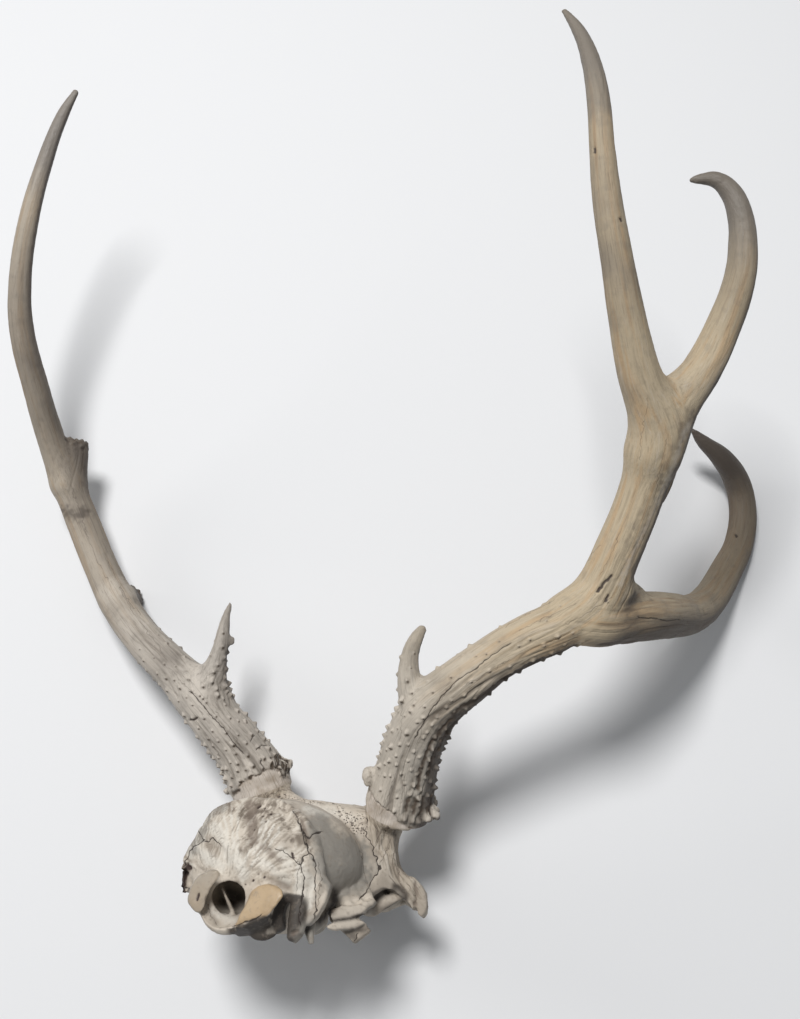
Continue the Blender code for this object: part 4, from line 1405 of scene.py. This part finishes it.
# %% Keep the tints on the skull
tints = {
    # Darkest in the broken hollow, the pits and the pores: painted shade in these holes.
    "dark": break_dark + pit + 0.6 * holes,
    "earthy": earthy,
    "bleached": bleached,
    "honey": right_condyle + 0.45 * left_condyle,
    # All painted shade: under the condyle, in the hollows and gaps, and at the flange's foot.
    "under": under + cave_shade + gap + 0.8 * lug_shade + shade,
    "ashen": ashen + 0.7 * left_condyle,
    "fan": 0.5 + (0.3 * rays + 0.5 * fine_rays + 0.7 * hairs) * nape + 0.9 * fibres}
keep(skull, **{name: np.clip(values, 0, 1) for name, values in tints.items()})
keep(skull, porous=porous, pedicle=pedicle, grain=fibre_place, relief=np.clip(height, -2, 2))
keep_cracks(skull, rift, fine_rift, seen)
print("tints kept:", ", ".join(tints))

# %% Part the skull from what the antlers cover
pieces.update(part_pieces(
    skull, [(RIGHT_BEAM, NECK, 34), (LEFT_BEAM, NECK, 34)], {"skull": SKULL_AT}))

# %% [markdown]
# ## Writing shader maths as sums
#
# A material's nodes are easier to read as arithmetic. This class wraps one socket:
# plus, minus and times add a Math node, and every other node comes from one method.

# %% One class for node sockets
class Wire:
    """A socket of a material's node tree."""

    def __init__(self, tree, socket=None):
        self.tree = tree
        self.socket = socket

    def node(self, kind, settings, sockets, output=0):
        made = self.tree.nodes.new("ShaderNode" + kind)
        for name, value in settings.items():
            setattr(made, name, value)
        for name, value in sockets.items():
            if isinstance(value, Wire):
                self.tree.links.new(value.socket, made.inputs[name])
            else:
                made.inputs[name].default_value = value
        return Wire(self.tree, made.outputs[output])

    def sum(self, operation, *values):
        return self.node("Math", {"operation": operation}, dict(enumerate(values)))

    def __add__(self, other):
        return self.sum("ADD", self, other)

    def __sub__(self, other):
        return self.sum("SUBTRACT", self, other)

    def __rsub__(self, other):
        return self.sum("SUBTRACT", other, self)

    def __mul__(self, other):
        return self.sum("MULTIPLY", self, other)

    def __neg__(self):
        return self.sum("MULTIPLY", self, -1.0)

    def __abs__(self):
        return self.sum("ABSOLUTE", self)

    __radd__ = __add__
    __rmul__ = __mul__


# %% Kept values, noises and coats of colour
def stored(wire, name, output="Fac"):
    """What the skin keeps under a name."""
    return wire.node("Attribute", {"attribute_name": name}, {}, output)


def speckled(place, scale, detail, **more):
    return place.node("TexNoise", {}, {
        "Vector": place, "Scale": scale, "Detail": detail, **more})


def along_grain(grain, across, along, detail, bend, rough=0.62):
    """Noise squeezed along the grain."""
    squeezed = grain.node("VectorMath", {"operation": "MULTIPLY"}, {
        0: grain, 1: (across, across, along)})
    return speckled(squeezed, 1.0, detail, Roughness=rough, Distortion=bend)


def between(value, low, high):
    """0 below low and 1 above high."""
    return value.node("MapRange", {"interpolation_type": "SMOOTHSTEP"}, {
        "Value": value, "From Min": low, "From Max": high})


def painted(base, coats):
    """Coats of colour, one after the other, each as strong as its mask."""
    for mask, colour in coats:
        first, second = (
            tint if isinstance(tint, Wire) else (*tint, 1) for tint in (base, colour))
        base = mask.node("Mix", {"data_type": "RGBA"}, {0: mask, 6: first, 7: second}, 2)
    return base


# %% [markdown]
# ## Cracks finer than the skin's faces
#
# A crack half a millimetre wide is thinner than a face. So the points keep their signed
# distance to the drawn line instead, which is smooth, and the shader draws the crack
# where it passes zero. A little noise makes its edges ragged.

# %% Crack lines in the shader
def cracked(place, name, near, width, ragged):
    shiver = speckled(place, 520.0, 3.0)
    gap = abs(stored(place, name) + (shiver - 0.5) * ragged)
    return between(stored(place, near) * width - gap, -0.25, 0.3)


def bone_material(name):
    """A new material, and the place on the object that its patterns read."""
    material = bpy.data.materials.new(name)
    material.use_nodes = True
    return material, Wire(material.node_tree).node("TexCoord", {}, {}, "Object")


def finished(material, base, rough, height):
    """Lead what varies over the bone to its shader."""
    shader = material.node_tree.nodes["Principled BSDF"]
    bump = base.node("Bump", {}, {"Strength": 0.6, "Distance": 0.0005, "Height": height})
    for name, wire in (("Base Color", base), ("Roughness", rough), ("Normal", bump)):
        material.node_tree.links.new(wire.socket, shader.inputs[name])
    shader.inputs["Specular IOR Level"].default_value = 0.35
    return material


# %% [markdown]
# ## Antler finish
#
# Dry antler is tan with a grey bloom, streaked along its grain. Earth and painted shade
# darken the furrows and the pearls' sides away from the lamp, painted shade darkens the
# sides of the branches turned from it, and the polished tips are grey. The streaks are
# noise in the branch's own places, squeezed along it.

# %% Antler material
def antler_finish(name, pale, tan, grey, deep, warm, aged):
    """Aged gives where, in tenths of a metre from the burr, pale bone turns to tan."""
    material, place = bone_material(name)
    grain = stored(place, "grain", "Vector")
    relief, calm, tip, dusk, rugged = (
        stored(place, layer) for layer in ("relief", "calm", "tip", "dusk", "rugged"))
    cloud = speckled(place, 24.0, 5.0)
    mottle = speckled(place, 150.0, 4.0)
    broad = along_grain(grain, 0.20, 0.012, 3.0, 0.4)
    streak = along_grain(grain, 0.55, 0.030, 4.0, 0.5)
    fine = along_grain(grain, 1.5, 0.075, 5.0, 0.4)
    hair = along_grain(grain, 4.0, 0.22, 3.0, 0.3)
    older = between(stored(place, "reach") + (cloud - 0.5) * 0.8, *aged)
    worn = calm * (between(rugged, 0.1, 0.8) * 0.4 + 0.6)
    crack = cracked(place, "rift", "near", 0.5, 1.3)
    fine_crack = cracked(place, "fine_rift", "fine_near", 0.3, 1.6)
    bone = painted((0.52, 0.46, 0.40), [
        (between(mottle, 0.4, 0.7), (0.37, 0.31, 0.25)),
        (between(fine, 0.50, 0.66) * 0.6, (0.20, 0.16, 0.12))])
    base = painted(pale, [
        (older, tan),
        (between(broad, 0.46, 0.66) * older * 0.75, warm),
        (between(cloud, 0.50, 0.72) * 0.45, grey),
        (between(streak, 0.52, 0.70) * worn * 0.42, deep),
        (between(streak, 0.30, 0.46) * -0.3 + 0.3, pale),
        (between(fine, 0.50, 0.74) * worn * 0.52, deep),
        (between(hair, 0.54, 0.78) * worn * 0.34, deep),
        (between(mottle, 0.52, 0.72) * 0.22, grey),
        # Paler where the skin stands out and darker in its furrows: earth and painted shade.
        (between(relief, 0.1, 0.9) * 0.35, pale),
        (between(-relief, 0.12, 1.0) * 0.6, deep),
        (between(tip + (cloud - 0.5) * 0.6 + (streak - 0.5) * 0.3, 0.15, 0.9) * 0.9, grey),
        # Painted shade and dirt, darkest on the low front branch and on the sides turned from the
        # lamp.
        (between(dusk + (cloud - 0.5) * 0.25, 0.05, 1.0) * 0.88, (0.055, 0.042, 0.034)),
        (stored(place, "bare") * 0.85, bone),
        # Paler on the pearls' tops, and a painted highlight along the rear branch's ridge.
        (stored(place, "crown") * 0.3, pale),
        # Painted shade and dirt beside the pearls and in the grooves, notches and breaks.
        (between(stored(place, "dirt"), 0.25, 0.85) * 0.85, (0.075, 0.052, 0.035)),
        (fine_crack * 0.5, (0.07, 0.05, 0.038)),
        (crack * 0.85, (0.035, 0.026, 0.02)),
        (between(stored(place, "scar"), 0.3, 0.8) * 0.9, (0.045, 0.032, 0.026))])
    height = (fine - 0.5) * 0.9 * calm + (hair - 0.5) * 0.5 * calm + (mottle - 0.5) * 0.3
    height = height - crack * 0.8 - fine_crack * 0.4
    return finished(material, base, 0.66 - tip * 0.2 + (fine - 0.5) * 0.3, height)


RIGHT_ANTLER = antler_finish(
    "weathered right antler", (0.48, 0.43, 0.365), (0.43, 0.35, 0.24), (0.185, 0.165, 0.14),
    (0.085, 0.066, 0.05), (0.42, 0.29, 0.165), (0.6, 1.6))
LEFT_ANTLER = antler_finish(
    "weathered left antler", (0.50, 0.45, 0.39), (0.42, 0.36, 0.285), (0.19, 0.17, 0.15),
    (0.085, 0.068, 0.052), (0.40, 0.30, 0.20), (0.8, 2.2))
print("antler materials", RIGHT_ANTLER.name, "and", LEFT_ANTLER.name)

# %% [markdown]
# ## Skull finish
#
# Dry skull bone is paler. Its colour is patchy on a scale of a centimetre and grainy on
# that of a millimetre, and the brushed tints lie between.

# %% Skull material
def skull_finish(name):
    material, place = bone_material(name)
    relief, pedicle, earthy, fan, honey, porous = (
        stored(place, layer)
        for layer in ("relief", "pedicle", "earthy", "fan", "honey", "porous"))
    cloud = speckled(place, 60.0, 5.0)
    speck = speckled(place, 420.0, 4.0)
    grit = speckled(place, 190.0, 6.0, Roughness=0.65)
    bark = along_grain(stored(place, "grain", "Vector"), 0.9, 0.10, 4.0, 0.6, 0.5)
    cells = place.node("TexVoronoi", {"feature": "F1"}, {
        "Vector": place, "Scale": 800.0}, "Distance")
    soiled = earthy * (between(grit, 0.38, 0.60) * 1.2 + 0.3)
    pores = between(-cells, -0.40, -0.25) * between(porous, 0.2, 0.6)
    crack = cracked(place, "rift", "near", 0.62, 1.7)
    fine_crack = cracked(place, "fine_rift", "fine_near", 0.32, 1.6)
    base = painted((0.51, 0.45, 0.375), [
        (between(cloud, 0.35, 0.68), (0.35, 0.30, 0.245)),
        (pedicle * 0.8, (0.385, 0.325, 0.255)),
        (between(stored(place, "bleached") + (cloud - 0.5) * 0.8, 0.2, 0.85),
         (0.57, 0.53, 0.465)),
        (between(stored(place, "ashen") + (cloud - 0.5) * 0.3, 0.1, 0.7) * 0.9,
         (0.26, 0.24, 0.21)),
        (between(soiled + (cloud - 0.5) * 0.3, 0.1, 1.2) * 0.8, (0.175, 0.14, 0.11)),
        (between(grit, 0.50, 0.60) * between(earthy, 0.25, 0.8) * 0.75, (0.085, 0.065, 0.045)),
        (between(bark, 0.50, 0.66) * pedicle * 0.7, (0.15, 0.12, 0.09)),
        (between(fan, 0.5, 1.0) * 0.45, (0.68, 0.63, 0.55)),
        (between(-fan, -0.5, 0.0) * 0.62, (0.18, 0.148, 0.115)),
        (between(honey + (cloud - 0.5) * 0.3, 0.25, 0.75) * 0.9, (0.40, 0.285, 0.165)),
        (between(cloud, 0.45, 0.75) * honey * 0.5, (0.24, 0.17, 0.10)),
        # Painted shade in the hollows, gaps and undersides.
        (stored(place, "under") * 0.92, (0.024, 0.018, 0.015)),
        (between(speck, 0.54, 0.75) * 0.45, (0.20, 0.165, 0.13)),
        (between(grit, 0.54, 0.72) * 0.35, (0.22, 0.18, 0.14)),
        # Darker where the skin is sunk: painted shade and earth.
        (between(-relief, 0.15, 1.1) * 0.6, (0.15, 0.115, 0.09)),
        (porous * 0.5, (0.55, 0.48, 0.40)),
        (pores * 0.9, (0.05, 0.037, 0.028)),
        (fine_crack * 0.65, (0.07, 0.05, 0.038)),
        (crack * 0.92, (0.03, 0.022, 0.018)),
        # Painted shade in the broken hollow, the pits and the pores.
        (between(stored(place, "dark"), 0.25, 0.8) * 0.95, (0.03, 0.016, 0.013))])
    height = speck * 0.7 + grit * 0.8 - pores - crack - fine_crack * 0.5
    height = height - between(bark, 0.48, 0.64) * pedicle * 0.9
    return finished(material, base, 0.68 - honey * 0.25 + (cloud - 0.5) * 0.15, height)


SKULL_BONE = skull_finish("weathered skull bone")
print("skull material", SKULL_BONE.name)

# %% [markdown]
# ## Put each skin on its solid
#
# Every piece stands in for the plain solid of the same name and rides on the whole.

# %% Replace the plain solids
for name, piece in pieces.items():
    piece.data.materials.clear()
    if name == "skull":
        piece.data.materials.append(SKULL_BONE)
    elif name.startswith("right"):
        piece.data.materials.append(RIGHT_ANTLER)
    else:
        piece.data.materials.append(LEFT_ANTLER)
    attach(piece, "root")
    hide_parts(name)
print("pieces", sorted(pieces))

# %% [markdown]
# ## Floor and light
#
# A plain pale floor takes soft shadows. The big lamp is overhead, a little to the upper
# left, and the world fills in the rest.

# %% Floor
FLOOR_SIZE = 8
FLOOR_COLOUR = (0.70, 0.70, 0.705, 1)
floor = fresh(bpy.ops.mesh.primitive_plane_add, size=FLOOR_SIZE, location=(0, 0, 0))
floor.name = "floor"
paint = bpy.data.materials.new("pale floor")
paint.use_nodes = True
paint.node_tree.nodes["Principled BSDF"].inputs["Base Color"].default_value = FLOOR_COLOUR
paint.node_tree.nodes["Principled BSDF"].inputs["Roughness"].default_value = 0.9
floor.data.materials.append(paint)
print("floor of", FLOOR_SIZE, "metres")

# %% Light
def lamp(name, place, target, size, power):
    data = bpy.data.lights.new(name, "AREA")
    data.shape = "DISK"
    data.size = size
    data.energy = power
    thing = bpy.data.objects.new(name, data)
    thing.location = place
    thing.rotation_euler = (Vector(target) - Vector(place)).to_track_quat("-Z", "Y").to_euler()
    bpy.context.scene.collection.objects.link(thing)


WORLD_COLOUR = (0.92, 0.96, 1.0, 1)
WORLD_STRENGTH = 0.27
lamp("key", (-0.36, 0.46, 2.2), (0, -0.05, 0.05), 0.55, 47)
lamp("window", (-1.9, 0.5, 0.9), (0, -0.05, 0.1), 0.9, 8)
world = bpy.data.worlds.new("room")
world.use_nodes = True
world.node_tree.nodes["Background"].inputs["Color"].default_value = WORLD_COLOUR
world.node_tree.nodes["Background"].inputs["Strength"].default_value = WORLD_STRENGTH
bpy.context.scene.world = world
bpy.context.scene.view_settings.view_transform = "Standard"
